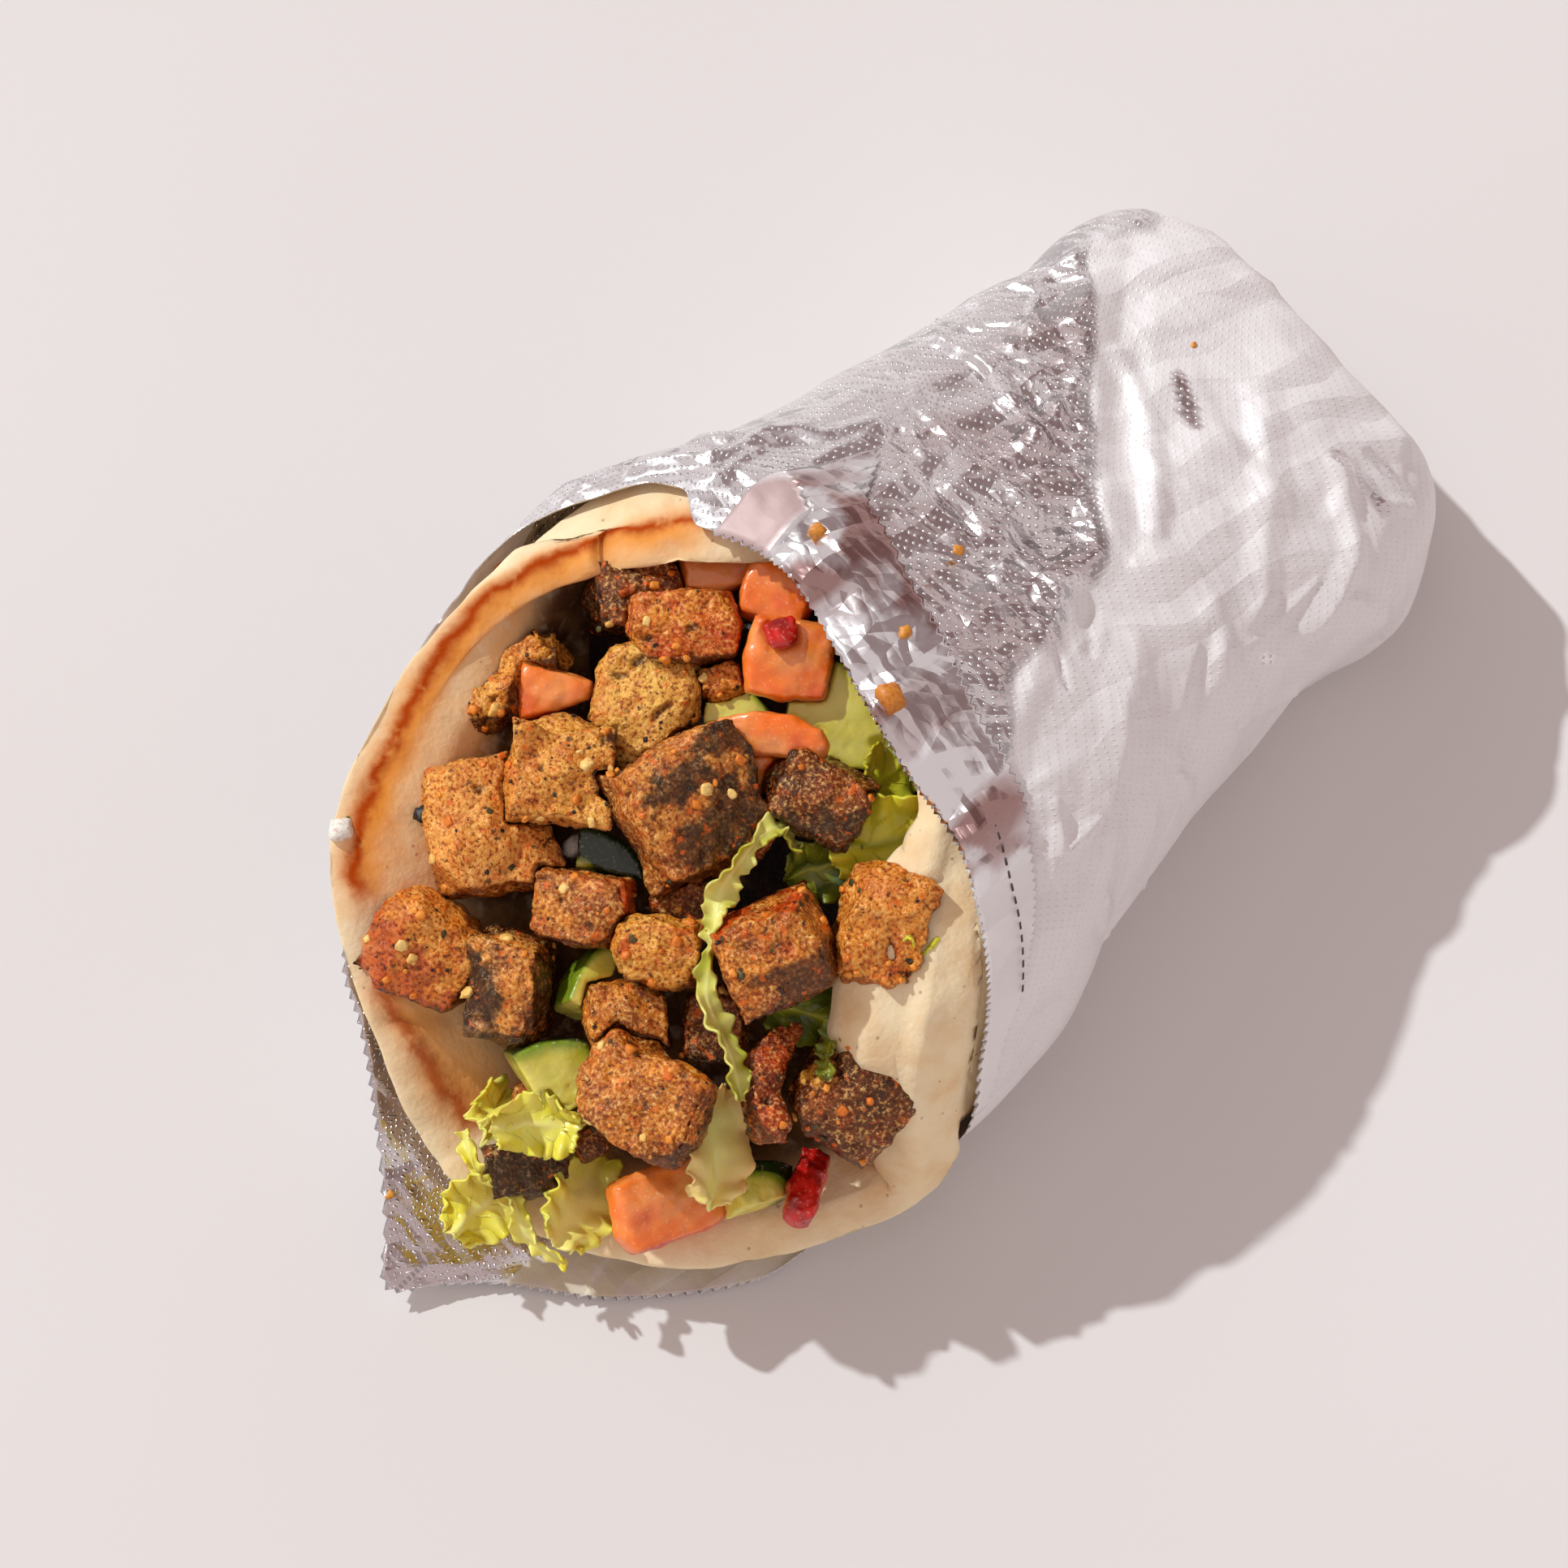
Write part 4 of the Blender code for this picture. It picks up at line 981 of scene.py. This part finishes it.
def crumbled(points, faces, ends, seed):
    """The points with a granular, torn surface, and masks of its edges and of its pits and the
    crevices between its grains, where shade is painted.
    """
    normals = normals_of(points, faces)
    sharp = ((points - relaxed(points, ends, 12)) * normals).sum(axis=1)
    edge = smooth_step(sharp, 0.06, 0.32)
    away, _ = grains(points, GRANULE, seed)
    large, _ = grains(points, 3.8, seed + 0.5)
    pit = smooth_step(lumps(points, 2.6, seed + 0.9), 0.42, 0.75)
    torn = edge * smooth_step(lumps(points, 3.6, seed + 0.4), 0.0, 0.4)
    swell = 0.55 * lumps(points, 7, seed) + 0.22 * (0.5 - away) + 0.5 * (0.5 - large)
    swell += 0.25 * ridges(points, 3.2, seed + 0.6) + 0.16 * lumps(points, 1.1, seed)
    swell -= 0.9 * pit + 1.5 * torn + 0.1
    return points + normals * swell[:, None], edge, np.maximum(pit, 0.8 * away - 0.6)


def build_meat(number, light, deep, crusts_and_shade, finish):
    name = f"meat_{number:02d}"
    points, faces, ends = remeshed(name, MEAT_VOXEL, rounds=2)
    points = points + OUT * RAISED.get(number, 0)
    facing = normals_of(relaxed(points, ends, 6), faces)
    spots, edge, pit = crumbled(points, faces, ends, number)
    _, own = grains(points, GRANULE, number)
    tone = 0.5 + 0.75 * lumps(points, 6, number + 0.7) + 0.5 * (own - 0.5)
    tone += 0.35 * lumps(points, 1.8, number + 0.2)
    rusty = 0.35 * smooth_step(lumps(points, 3.2, number + 0.8), 0.25, 0.6)
    paint = mixed(light, (deep, np.clip(tone, 0, 1)), (RUST, rusty))
    crust_and_shade_share = np.zeros(len(points))
    # Real crust and char, and, on the sides turned away from the light, painted shade.
    for colour, side, reach in crusts_and_shade:
        near = facing @ toward(*side) + 0.3 * lumps(points, 5, number + 0.1) + 0.12 * (own - 0.5)
        share = smooth_step(near, reach - 0.04, reach + 0.1)
        paint = mixed(paint, (colour, share * (0.75 + 0.25 * own)))
        crust_and_shade_share = np.maximum(crust_and_shade_share, share)
    browned = 0.5 * edge * (1 - crust_and_shade_share) * np.clip(own + 0.2, 0, 1)
    # Painted shade: faces turned away from the way out of the mouth, parts well below the piece's
    # top, and its pits and the crevices between its grains are painted dark.
    out = points @ OUT
    below = np.maximum(smooth_step(-facing @ OUT, -0.3, 0.5), smooth_step(out.max() - out, 5, 14))
    paint = mixed(paint, (BROWN, browned), (DARK, 0.9 * np.clip(pit, 0, 1)), (DARK, 0.75 * below))
    add_mesh(f"{name}_grilled", spots, faces, finish, "meat", [name], paint, {"crust_and_shade": crust_and_shade_share})
    return spots, normals_of(spots, faces)


def build_meats():
    """Adds the meat, and returns its points and normals for what is sprinkled on it."""
    tint = (1.0, 0.68, 0.44, 1.0)
    finish = shader("meat", meat_look, Specular_IOR_Level=0.9, Specular_Tint=tint)
    spots = [
        build_meat(number, light, deep, crusts_and_shade, finish)
        for number, (light, deep, *crusts_and_shade) in enumerate(MEATS, 1)
    ]
    return [np.concatenate(values) for values in zip(*spots)]


# ---- tomato, pepper and cucumber

TOMATO_FLESH, TOMATO_DEEP_RED, TOMATO_PALE = rgb(252, 118, 30), rgb(212, 48, 12), rgb(255, 182, 110)
PEPPER_RED, PEPPER_DEEP = rgb(222, 30, 18), rgb(130, 12, 10)
FLESH_GREEN, FLESH_PALE = rgb(206, 198, 52), rgb(238, 228, 112)
UNDER_SKIN, SKIN_GREEN = rgb(122, 150, 22), rgb(20, 46, 10)

# The middle, size and tilt of each piece, as in the solids.
Piece = namedtuple("Piece", "middle size tilt")
CUCUMBER = (
    Piece((9.8, -54.1, 28), (15, 13, 10), (25, 0, 80)),
    Piece((41.6, -43.2, 18), (14, 8, 7), (10, 30, 75)),
    Piece((2.8, -43.5, 32), (13, 6, 9), (25, 0, 120)),
    Piece((2.7, 12.4, 46), (22, 18, 5), (22, 5, 40)),
    Piece((-9.5, 0.2, 44), (12, 9, 6), (15, 0, 40)),
    Piece((-7.8, -28.2, 36), (11, 8, 7), (15, 0, 40)),
)
SKIN_FROM = (0.86, 0.62, 0.9, 0.94, 0.94, 0.2)  # how far out of each piece its skin starts
SLICE_CENTRE = -0.82  # of a quarter round, in halves of its size from its own middle


def turned(piece):
    """The rotation of a piece, as an array that turns its own axes to the wrap's."""
    return np.array(Euler([math.radians(angle) for angle in piece.tilt]).to_matrix())


def juicy_look(tree):
    spots = (
        (2.2, 3.0, 0.45, 0.7, 0.45, rgb(255, 220, 170), "SOFT_LIGHT"),
        (0.5, 2.0, 0.6, 0.75, 0.35, rgb(255, 226, 186)),
    )
    return painted(tree, spots, ((5.0, 2.0, 0.8, 0.5), (1.5, 3.0, 0.22, 0.6)))


def build_tomatoes(finish):
    for number, name, points, faces, ends in cuts("tomato", 7, voxel=0.45, rounds=3):
        normals = normals_of(relaxed(points, ends, 6), faces)
        swell = 0.5 * lumps(points, 5, number) + 0.2 * lumps(points, 1.8, number)
        points = points + normals * swell[:, None]
        streaks = lumps(points * (0.1, 0.1, 0.6) + number, 1.0, 2)
        pale = np.clip(0.3 + 0.8 * streaks + 0.5 * lumps(points, 4, 3), 0, 1)
        # Painted shade: the sides turned toward the lower right, away from the light, are painted
        # deep red; random patches are deep red too.
        rim = normals @ toward(0.7, -0.7, -0.3) + 0.2 * lumps(points, 5, 4)
        deep = smooth_step(lumps(points, 6, number + 0.4), 0.3, 0.6)
        skin = (TOMATO_DEEP_RED, smooth_step(rim, 0.45, 0.75)), (TOMATO_DEEP_RED, 0.45 * deep)
        paint = mixed(TOMATO_FLESH, (TOMATO_PALE, 0.6 * pale), *skin)
        add_mesh(f"{name}_cut", points, faces, finish, "tomato", [name], paint)


def build_peppers(finish):
    for number, name, points, faces, _ in cuts("pepper", 2, voxel=0.35, rounds=2):
        swell = 0.5 * lumps(points, 3.2, number) + 0.2 * ridges(points, 2.0, number)
        points = points + normals_of(points, faces) * swell[:, None]
        deep = np.clip(0.3 + 0.9 * lumps(points, 3.0, number), 0, 1)
        paint = mixed(PEPPER_RED, (PEPPER_DEEP, deep))
        add_mesh(f"{name}_cut", points, faces, finish, "pepper", [name], paint)


def build_cucumbers(finish):
    count = len(CUCUMBER)
    for number, name, points, faces, _ in cuts("cucumber", count, voxel=0.4, rounds=2):
        piece, start = CUCUMBER[number - 1], SKIN_FROM[number - 1]
        own = (points - np.array(piece.middle)) @ turned(piece) / (np.array(piece.size) / 2)
        reach = np.linalg.norm(own[:, :2] - SLICE_CENTRE, axis=1) / (1 - SLICE_CENTRE)
        reach = reach + 0.03 * lumps(points, 3, number)
        seeds = smooth_step(lumps(points, 1.7, number), 0.1, 0.4)
        seeds = (1 - smooth_step(reach, 0.3, 0.5)) * seeds
        swell = 0.15 * lumps(points, 4, number) - 0.25 * seeds
        points = points + normals_of(points, faces) * swell[:, None]
        paint = mixed(
            FLESH_PALE,
            (FLESH_GREEN, np.clip(0.4 + 0.8 * lumps(points, 4, number), 0, 1)),
            (FLESH_PALE, 0.6 * seeds),
            (UNDER_SKIN, smooth_step(reach, start - 0.17, start)),
            (SKIN_GREEN, smooth_step(reach, start, start + 0.04)),
        )
        add_mesh(f"{name}_cut", points, faces, finish, "cucumber", [name], paint)


# ---- lettuce

LEAF_THICK = 0.4
LEAF_GRID, STRAND_COLUMNS, STRAND_STEPS = (64, 48), 16, 24
LIME, LEAF_GREEN, DEEP_GREEN = rgb(228, 214, 56), rgb(172, 172, 44), rgb(66, 84, 20)
RIB, BLUSH = rgb(246, 232, 142), rgb(232, 178, 112)

# Each leaf: its piece as in the solids, its colours at the edge and the rib, and its rib's width.
Leaf = namedtuple("Leaf", "piece edge rib rib_width")
LEAVES = (
    Leaf(Piece((21.5, 1.7, 45), (18, 15, 3.0), (25, 5, 57)), LIME, LEAF_GREEN, 0.10),
    Leaf(Piece((17.7, -7.2, 43), (13, 10, 2.5), (30, -10, 60)), DEEP_GREEN, LEAF_GREEN, 0.08),
    Leaf(Piece((32.5, -1.5, 43), (22, 9, 2.5), (15, 30, 125)), LIME, LEAF_GREEN, 0.10),
    Leaf(Piece((13.3, 10.1, 44), (12, 10, 2.5), (25, 10, 90)), LEAF_GREEN, LIME, 0.10),
    Leaf(Piece((14.4, -63.7, 27), (14, 10, 3.0), (35, 0, 45)), LIME, RIB, 0.16),
    Leaf(Piece((7.5, -67.2, 22), (15, 7, 2.5), (30, 40, 125)), LIME, RIB, 0.20),
    Leaf(Piece((14.6, -76.0, 12), (14, 12, 3.0), (30, 0, 90)), LIME, RIB, 0.12),
    Leaf(Piece((25.3, -65.2, 16), (17, 13, 2.5), (35, 10, 110)), LIME, RIB, 0.50),
    Leaf(Piece((35.7, -46.8, 30), (19, 12, 2.5), (35, -10, 130)), BLUSH, RIB, 0.55),
    Leaf(Piece((31.5, -23.0, 35), (14, 10, 2.5), (25, 0, 30)), DEEP_GREEN, LEAF_GREEN, 0.10),
)

# The course of each strip of leaf.
CURLING = ((13.9, -9.6, 46.5), (9.8, -10.8, 51), (10.6, -18.1, 52), (12.4, -24.2, 50.5))
CURLING += ((16.1, -29.1, 49), (21.0, -34.6, 43.5), (29.1, -37.4, 41), (35.1, -40.4, 37.5))
LOW = ((6.2, -71.6, 21), (12.7, -74.5, 20), (18.0, -72.7, 18), (23.5, -74.5, 14))
LOW += ((30.3, -72.4, 11),)
SHORT = ((41.6, -14.3, 42), (38.5, -19.0, 41), (36.8, -23.0, 39), (38.5, -26.5, 38.5))
SHORT += ((41.5, -29.5, 39.5),)

# Each strip: its width, its colours at the edge and along the middle, and its course.
STRANDS = (
    (3.9, LEAF_GREEN, RIB, CURLING),
    (2.6, LIME, RIB, LOW),
    (3.4, DEEP_GREEN, LEAF_GREEN, SHORT),
)


def leaf_look(tree):
    spots = ((1.4, 3.0, 0.35, 0.7, 0.3, rgb(230, 230, 140), "SOFT_LIGHT"),)
    veins = relief(tree, attribute(tree, "vein"), 0.35, 0.8)
    return painted(tree, spots, ((0.8, 3.0, 0.12, 0.6),), veins)


def add_leaf(name, grid, paint, vein, finish):
    points, faces = plate(grid, LEAF_THICK)
    paint, masks = np.tile(paint, (2, 1)), {"vein": np.tile(vein, 2)}
    add_mesh(f"{name}_leaf", points, faces, finish, "lettuce", [name], paint, masks)


def build_leaf(number, leaf, finish):
    """A thin ruffled leaf: as the solid, with finer ruffles and a torn outline."""
    x, y = np.meshgrid(*(np.linspace(-1, 1, count) for count in LEAF_GRID), indexing="ij")
    x, y, seed, size = x.ravel(), y.ravel(), float(number), leaf.piece.size
    flat = np.stack([x * 5, y * 5, np.full(len(x), seed * 3)], axis=1)
    border = np.maximum(np.abs(x), np.abs(y)) ** 6
    torn = 1 + border * (0.1 * lumps(flat, 2.0, seed) + 0.07 * lumps(flat, 0.7, seed))
    wave = np.sin(3.1 * x + seed) * np.abs(y) + 0.7 * np.sin(4.3 * y + 2 * seed) * np.abs(x)
    ruffle = np.abs(y) ** 2.2 * np.sin(11 * x + 2.5 * np.sin(3 * x + seed) + seed)
    ruffle += 0.8 * np.abs(x) ** 3 * np.sin(9 * y + 2 * np.sin(2.3 * y + seed) + 2 * seed)
    along = x * (1 - 0.2 * y * y) * torn * size[0] / 2
    across = y * (1 - 0.35 * x * x) * torn * size[1] / 2
    height = size[2] * (0.5 * wave + 0.35 * (x * x + y * y)) + 1.15 * ruffle
    own = np.stack([along, across, height], axis=1) + 0.7 * drift(flat, 2.6, seed + 3)
    spots = own @ turned(leaf.piece).T + np.array(leaf.piece.middle)

    rib = hill(y, leaf.rib_width) * smooth_step(1.1 - x, 0, 0.9)
    slant = np.abs(np.sin(7.5 * (x - 0.8 * np.abs(y)) + 0.4 * lumps(flat, 2, seed)))
    side = smooth_step(1 - slant, 0.8, 1.0) * smooth_step(1 - np.abs(y), 0.05, 0.5)
    tone = np.clip(0.5 + 0.9 * lumps(flat, 2.2, seed + 8), 0, 1)
    pale = np.clip(np.maximum(rib, 0.45 * side), 0, 1)
    paint = mixed(leaf.edge, (leaf.rib, 0.5 * tone), (leaf.rib, pale))
    grid, vein = spots.reshape(*LEAF_GRID, 3), np.maximum(rib, 0.6 * side)
    add_leaf(f"lettuce_{number:02d}", grid, paint, vein, finish)


def build_strand(number, width, edge, rib_colour, course, finish):
    """A strip of leaf along its course, with ruffled edges and a pale middle."""
    course = np.array(course)
    last = len(course) - 1
    fine = np.linspace(0, last, STRAND_STEPS * len(course))
    near = np.clip(np.floor(fine).astype(int), 0, last - 1)
    ends = 2 * course[:1] - course[1:2], 2 * course[-1:] - course[-2:-1]
    padded = np.concatenate([ends[0], course, ends[1]])
    middle = spline(*(padded[near + k] for k in range(4)), (fine - near)[:, None])
    run = unit(np.gradient(middle, axis=0))
    lean = 1.3 * np.sin(fine * 1.7 + number)
    lifted = np.stack([lean * run[:, 1], -lean * run[:, 0], np.ones(len(run))], axis=1)
    side = unit(np.cross(run, lifted))
    across = np.linspace(-1, 1, STRAND_COLUMNS)
    taper = np.clip(np.minimum(fine, last - fine) * 2.2 + 0.35, 0, 1) * width / 2
    taper = taper * (0.9 + 0.3 * np.sin(2.3 * fine + number) + 0.2 * np.sin(7.1 * fine))
    frill = np.sin(15 * fine[:, None] + 2 * np.sign(across)) * np.sin(4.1 * fine[:, None] + 1)
    cup = 0.8 * across**2 + 0.9 * across**2 * frill
    grid = middle[:, None] + side[:, None] * (across * taper[:, None])[..., None]
    grid = grid + np.cross(side, run)[:, None] * cup[..., None]
    rib = np.tile(hill(across, 0.3), len(fine))
    bright = np.clip(0.4 + 0.5 * rib + 0.8 * lumps(grid.reshape(-1, 3), 4, number), 0, 1)
    paint = mixed(edge, (rib_colour, bright))
    add_leaf(f"strand_{number:02d}", grid, paint, rib, finish)


def build_lettuce():
    soft = {"Subsurface_Weight": 0.35, "Subsurface_Scale": 0.0015}
    finish = shader("lettuce", leaf_look, Roughness=0.34, **soft)
    for number, leaf in enumerate(LEAVES, 1):
        build_leaf(number, leaf, finish)
    for number, strip in enumerate(STRANDS, 1):
        build_strand(number, *strip, finish)


# ---- what is sprinkled on it

# Each kind: its name and slot, how many, their sizes, how flat they are, and their colours.
SPRINKLED = (
    ("garlic_bits", "bread", 26, (0.45, 1.1), 0.5, (rgb(250, 214, 132), rgb(244, 190, 90))),
    ("pepper_flakes", "filling", 130, (0.14, 0.34), 0.6, (rgb(24, 15, 12), rgb(52, 30, 20))),
    ("spice_bits", "meat", 110, (0.25, 0.75), 0.6, (rgb(226, 116, 24), rgb(240, 156, 50))),
    ("herb_flakes", "lettuce", 34, (0.25, 0.6), 0.22, (rgb(52, 50, 20), rgb(92, 80, 34))),
)

# Crumbs that have fallen on the foil, the bread and the rim: place and size.
CRUMBS = (
    (9.6, 13.1, 62.6, 2.3), (3.3, 21.4, 63.4, 0.9), (-1.8, 37.3, 60.5, 0.8),
    (-18.2, 23.4, 61.0, 1.0), (-51.5, -12.7, 46.5, 1.3), (2.8, -84.9, 7.5, 0.7),
    (-7.6, 93.8, 41.5, 0.5),
)
CRUMB_COLOURS = rgb(204, 116, 36), rgb(222, 152, 50)

# Other small things that lie on it: name, slot, place, size and colours.
SAUCE = rgb(250, 246, 238), rgb(240, 234, 222)
DROPS = (
    ("sauce_drop_01", "filling", (-36.3, -57.6, 43.6), 1.7, SAUCE),
    ("sauce_drop_02", "filling", (-12.8, -31.6, 34.5), 1.7, SAUCE),
    ("green_herb", "lettuce", (-36.3, -56.6, 45.0), 0.6, (rgb(96, 120, 30), rgb(70, 96, 26))),
    ("peppercorn", "filling", (-33.3, -44.1, 31.0), 1.3, (rgb(30, 22, 18), rgb(44, 28, 20))),
)
FALLEN_FLATNESS = 0.7
FALL = 0.012  # how far a crumb may be from what it lies on, in metres
SPRINKLED_OVER = 24  # sprinkled bits lie above this height


def crumb_look(tree):
    spots = ((0.6, 3.0, 0.5, 0.7, 0.6, rgb(200, 120, 50), "MULTIPLY"),)
    return painted(tree, spots, ((0.4, 3.0, 0.12, 0.7),))


def ball():
    """The points and triangles of a small round blank."""
    shape = bmesh.new()
    bmesh.ops.create_icosphere(shape, subdivisions=2, radius=1)
    points = np.array([vert.co[:] for vert in shape.verts])
    faces = [[vert.index for vert in face.verts] for face in shape.faces]
    shape.free()
    return points, faces


def add_bits(name, slot, centres, normals, sizes, flatness, colours, finish, rng):
    """One mesh of uneven bits, each lying flat on its normal."""
    blank, blank_faces = ball()
    blank = signed_power(blank, 0.6)
    points, faces, paint = [], [], []
    for centre, normal, size in zip(centres, normals, sizes):
        side = unit(np.cross(normal, rng.normal(size=3)))
        axes = np.stack([side * rng.uniform(0.7, 1.3), np.cross(normal, side), normal * flatness])
        uneven = 1 + 0.6 * lumps(blank + centre, 1.0, size)
        start = len(points) * len(blank)
        points.append(centre + (blank * uneven[:, None]) @ axes * size)
        faces += [[corner + start for corner in face] for face in blank_faces]
        paint.append(mixed(colours[0], (colours[1], np.full(len(blank), rng.random()))))
    paint = np.concatenate(paint)
    add_mesh(name, np.concatenate(points), faces, finish, slot, (), paint)


def landed(places, pieces):
    """The places, moved along the way out of the mouth onto the outermost piece there."""
    way = Vector(OUT).normalized()
    found = []
    for place in np.array(places, float):
        start = Vector((place + BODY_SHIFT) * MM) + way * FALL
        hits = [piece.ray_cast(start, -way, distance=2 * FALL) for piece in pieces]
        hits = [hit[1] for hit in hits if hit[0]]
        if hits:
            nearest = min(hits, key=lambda spot: (spot - start).length)
            place = np.array(nearest) / MM - BODY_SHIFT
        found.append(place)
    return np.array(found)


def build_sprinkles(spots, normals):
    rng = np.random.default_rng(11)
    finish = shader("crumbs", crumb_look, Roughness=0.45)
    high = np.flatnonzero((normals @ OUT > 0.35) & (spots[:, 2] > SPRINKLED_OVER))
    for name, slot, count, sizes, flat, colours in SPRINKLED:
        chosen = rng.choice(high, count)
        sizes = rng.uniform(*sizes, count)
        centres = spots[chosen] + normals[chosen] * (sizes * flat * 0.3)[:, None]
        add_bits(name, slot, centres, normals[chosen], sizes, flat, colours, finish, rng)
    bpy.context.view_layer.update()
    pieces, flat = list(VISIBLE), FALLEN_FLATNESS
    places, sizes = np.array(CRUMBS)[:, :3], np.array(CRUMBS)[:, 3]
    up = np.tile((0.0, 0.0, 1.0), (len(CRUMBS), 1))
    fallen = landed(places, pieces)
    add_bits("fallen_crumbs", "meat", fallen, up, sizes, flat, CRUMB_COLOURS, finish, rng)
    for name, slot, place, size, colours in DROPS:
        add_bits(name, slot, landed([place], pieces), up, [size], flat, colours, finish, rng)


# The core is painted near-black: painted shade for the deep gaps between the pieces.
def core_shade_look(tree):
    dark = ramp(tree, grain(tree, 4.0, 4.0), 0.35, 0.65)
    normal = relief(tree, grain(tree, 1.6, 4.0), 0.8, 0.8)
    return {"Base_Color": blend(tree, dark, rgb(58, 30, 16), rgb(20, 11, 7)), "Normal": normal}


# ---- stage, light and camera

CAMERA_TARGET = Vector((-0.0016, -0.0112, 0.030))
CAMERA_AZIMUTH, CAMERA_HEIGHT, CAMERA_DISTANCE = 47.6, 70.0, 0.85
PIXELS_PER_METRE, IMAGE_WIDTH, SENSOR = 8000, 1932, 36.0
SUN_AZIMUTH, SUN_HEIGHT, SUN_SPREAD = -78.0, 42.0, 1.4
SUN_POWER, SUN_COLOUR = 2.42, (0.93, 1.0, 1.02)
SKY, DIM_SKY = (0.655, 0.58, 0.57), (0.29, 0.21, 0.205)
DIM_SIDE, DIM_REACH = Vector((-0.15, 0.6, 0.78)).normalized(), (0.76, 0.93)


def direction(azimuth, height):
    """A unit vector toward this azimuth from -Y and this height, in degrees."""
    a, e = math.radians(azimuth), math.radians(height)
    return Vector((math.sin(a) * math.cos(e), -math.cos(a) * math.cos(e), math.sin(e)))


def build_camera():
    back = direction(CAMERA_AZIMUTH, CAMERA_HEIGHT)
    data = bpy.data.cameras.new("camera")
    data.sensor_width = SENSOR
    data.lens = PIXELS_PER_METRE * CAMERA_DISTANCE / IMAGE_WIDTH * SENSOR
    data.clip_start, data.clip_end = 0.01, 20
    made = placed("camera", data)
    made.location = CAMERA_TARGET + back * CAMERA_DISTANCE
    made.rotation_euler = back.to_track_quat("Z", "Y").to_euler()
    bpy.context.scene.camera = made


def build_light():
    data = bpy.data.lights.new("sun", "SUN")
    data.energy, data.angle, data.color = SUN_POWER, math.radians(SUN_SPREAD), SUN_COLOUR
    turn = direction(SUN_AZIMUTH, SUN_HEIGHT).to_track_quat("Z", "Y")
    placed("sun", data).rotation_euler = turn.to_euler()
    world = bpy.data.worlds.new("studio")
    bpy.context.scene.world = world
    world.use_nodes = True
    tree = world.node_tree
    links = {0: node(tree, "TexCoord").outputs["Generated"], 1: DIM_SIDE}
    near = node(tree, "VectorMath", links, operation="DOT_PRODUCT").outputs["Value"]
    colour = blend(tree, ramp(tree, near, *DIM_REACH), SKY, DIM_SKY)
    tree.links.new(colour, tree.nodes["Background"].inputs["Color"])
    tree.nodes["Background"].inputs["Strength"].default_value = 1.0
    view = bpy.context.scene.view_settings
    view.view_transform, view.look = "Standard", "None"


def floor_look(tree):
    return {"Base_Color": blend(tree, grain(tree, 220.0), rgb(230, 226, 225), rgb(223, 217, 214))}


def build_floor():
    shape = bmesh.new()
    bmesh.ops.create_grid(shape, x_segments=8, y_segments=8, size=2.0)
    data = bpy.data.meshes.new("floor")
    shape.to_mesh(data)
    shape.free()
    data.materials.append(shader("floor", floor_look, Roughness=0.55))
    made = placed("floor", data)
    made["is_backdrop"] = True


def build():
    build_camera()
    build_light()
    build_floor()
    foil = shader("foil", foil_look, Metallic=1.0)
    rows = foil_form()
    build_foil(rows, foil)
    build_collar(rows, foil)
    build_slit_shadows(rows)
    build_pita()
    spots, normals = build_meats()
    juicy = {"Coat_Weight": 0.5, "Coat_Roughness": 0.1, "Subsurface_Scale": 0.002}
    wet = shader("wet_cut", juicy_look, Roughness=0.3, Subsurface_Weight=0.2, **juicy)
    build_tomatoes(wet)
    build_peppers(wet)
    build_cucumbers(wet)
    build_lettuce()
    build_sprinkles(spots, normals)
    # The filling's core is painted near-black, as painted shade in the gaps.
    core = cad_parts["filling_core"]
    core.data.materials.clear()
    core.data.materials.append(shader("filling", core_shade_look, Roughness=0.55))


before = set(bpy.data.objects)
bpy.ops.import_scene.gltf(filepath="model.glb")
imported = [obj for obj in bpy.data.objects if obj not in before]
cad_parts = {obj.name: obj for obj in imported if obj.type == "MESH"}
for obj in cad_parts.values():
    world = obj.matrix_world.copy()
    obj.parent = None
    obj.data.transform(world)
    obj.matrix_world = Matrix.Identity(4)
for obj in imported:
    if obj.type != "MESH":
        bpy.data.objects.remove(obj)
cad_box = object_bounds()
build()
boxes = {"cad": cad_box, "visual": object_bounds()}
{name: [list(corner) for corner in box] for name, box in boxes.items()}
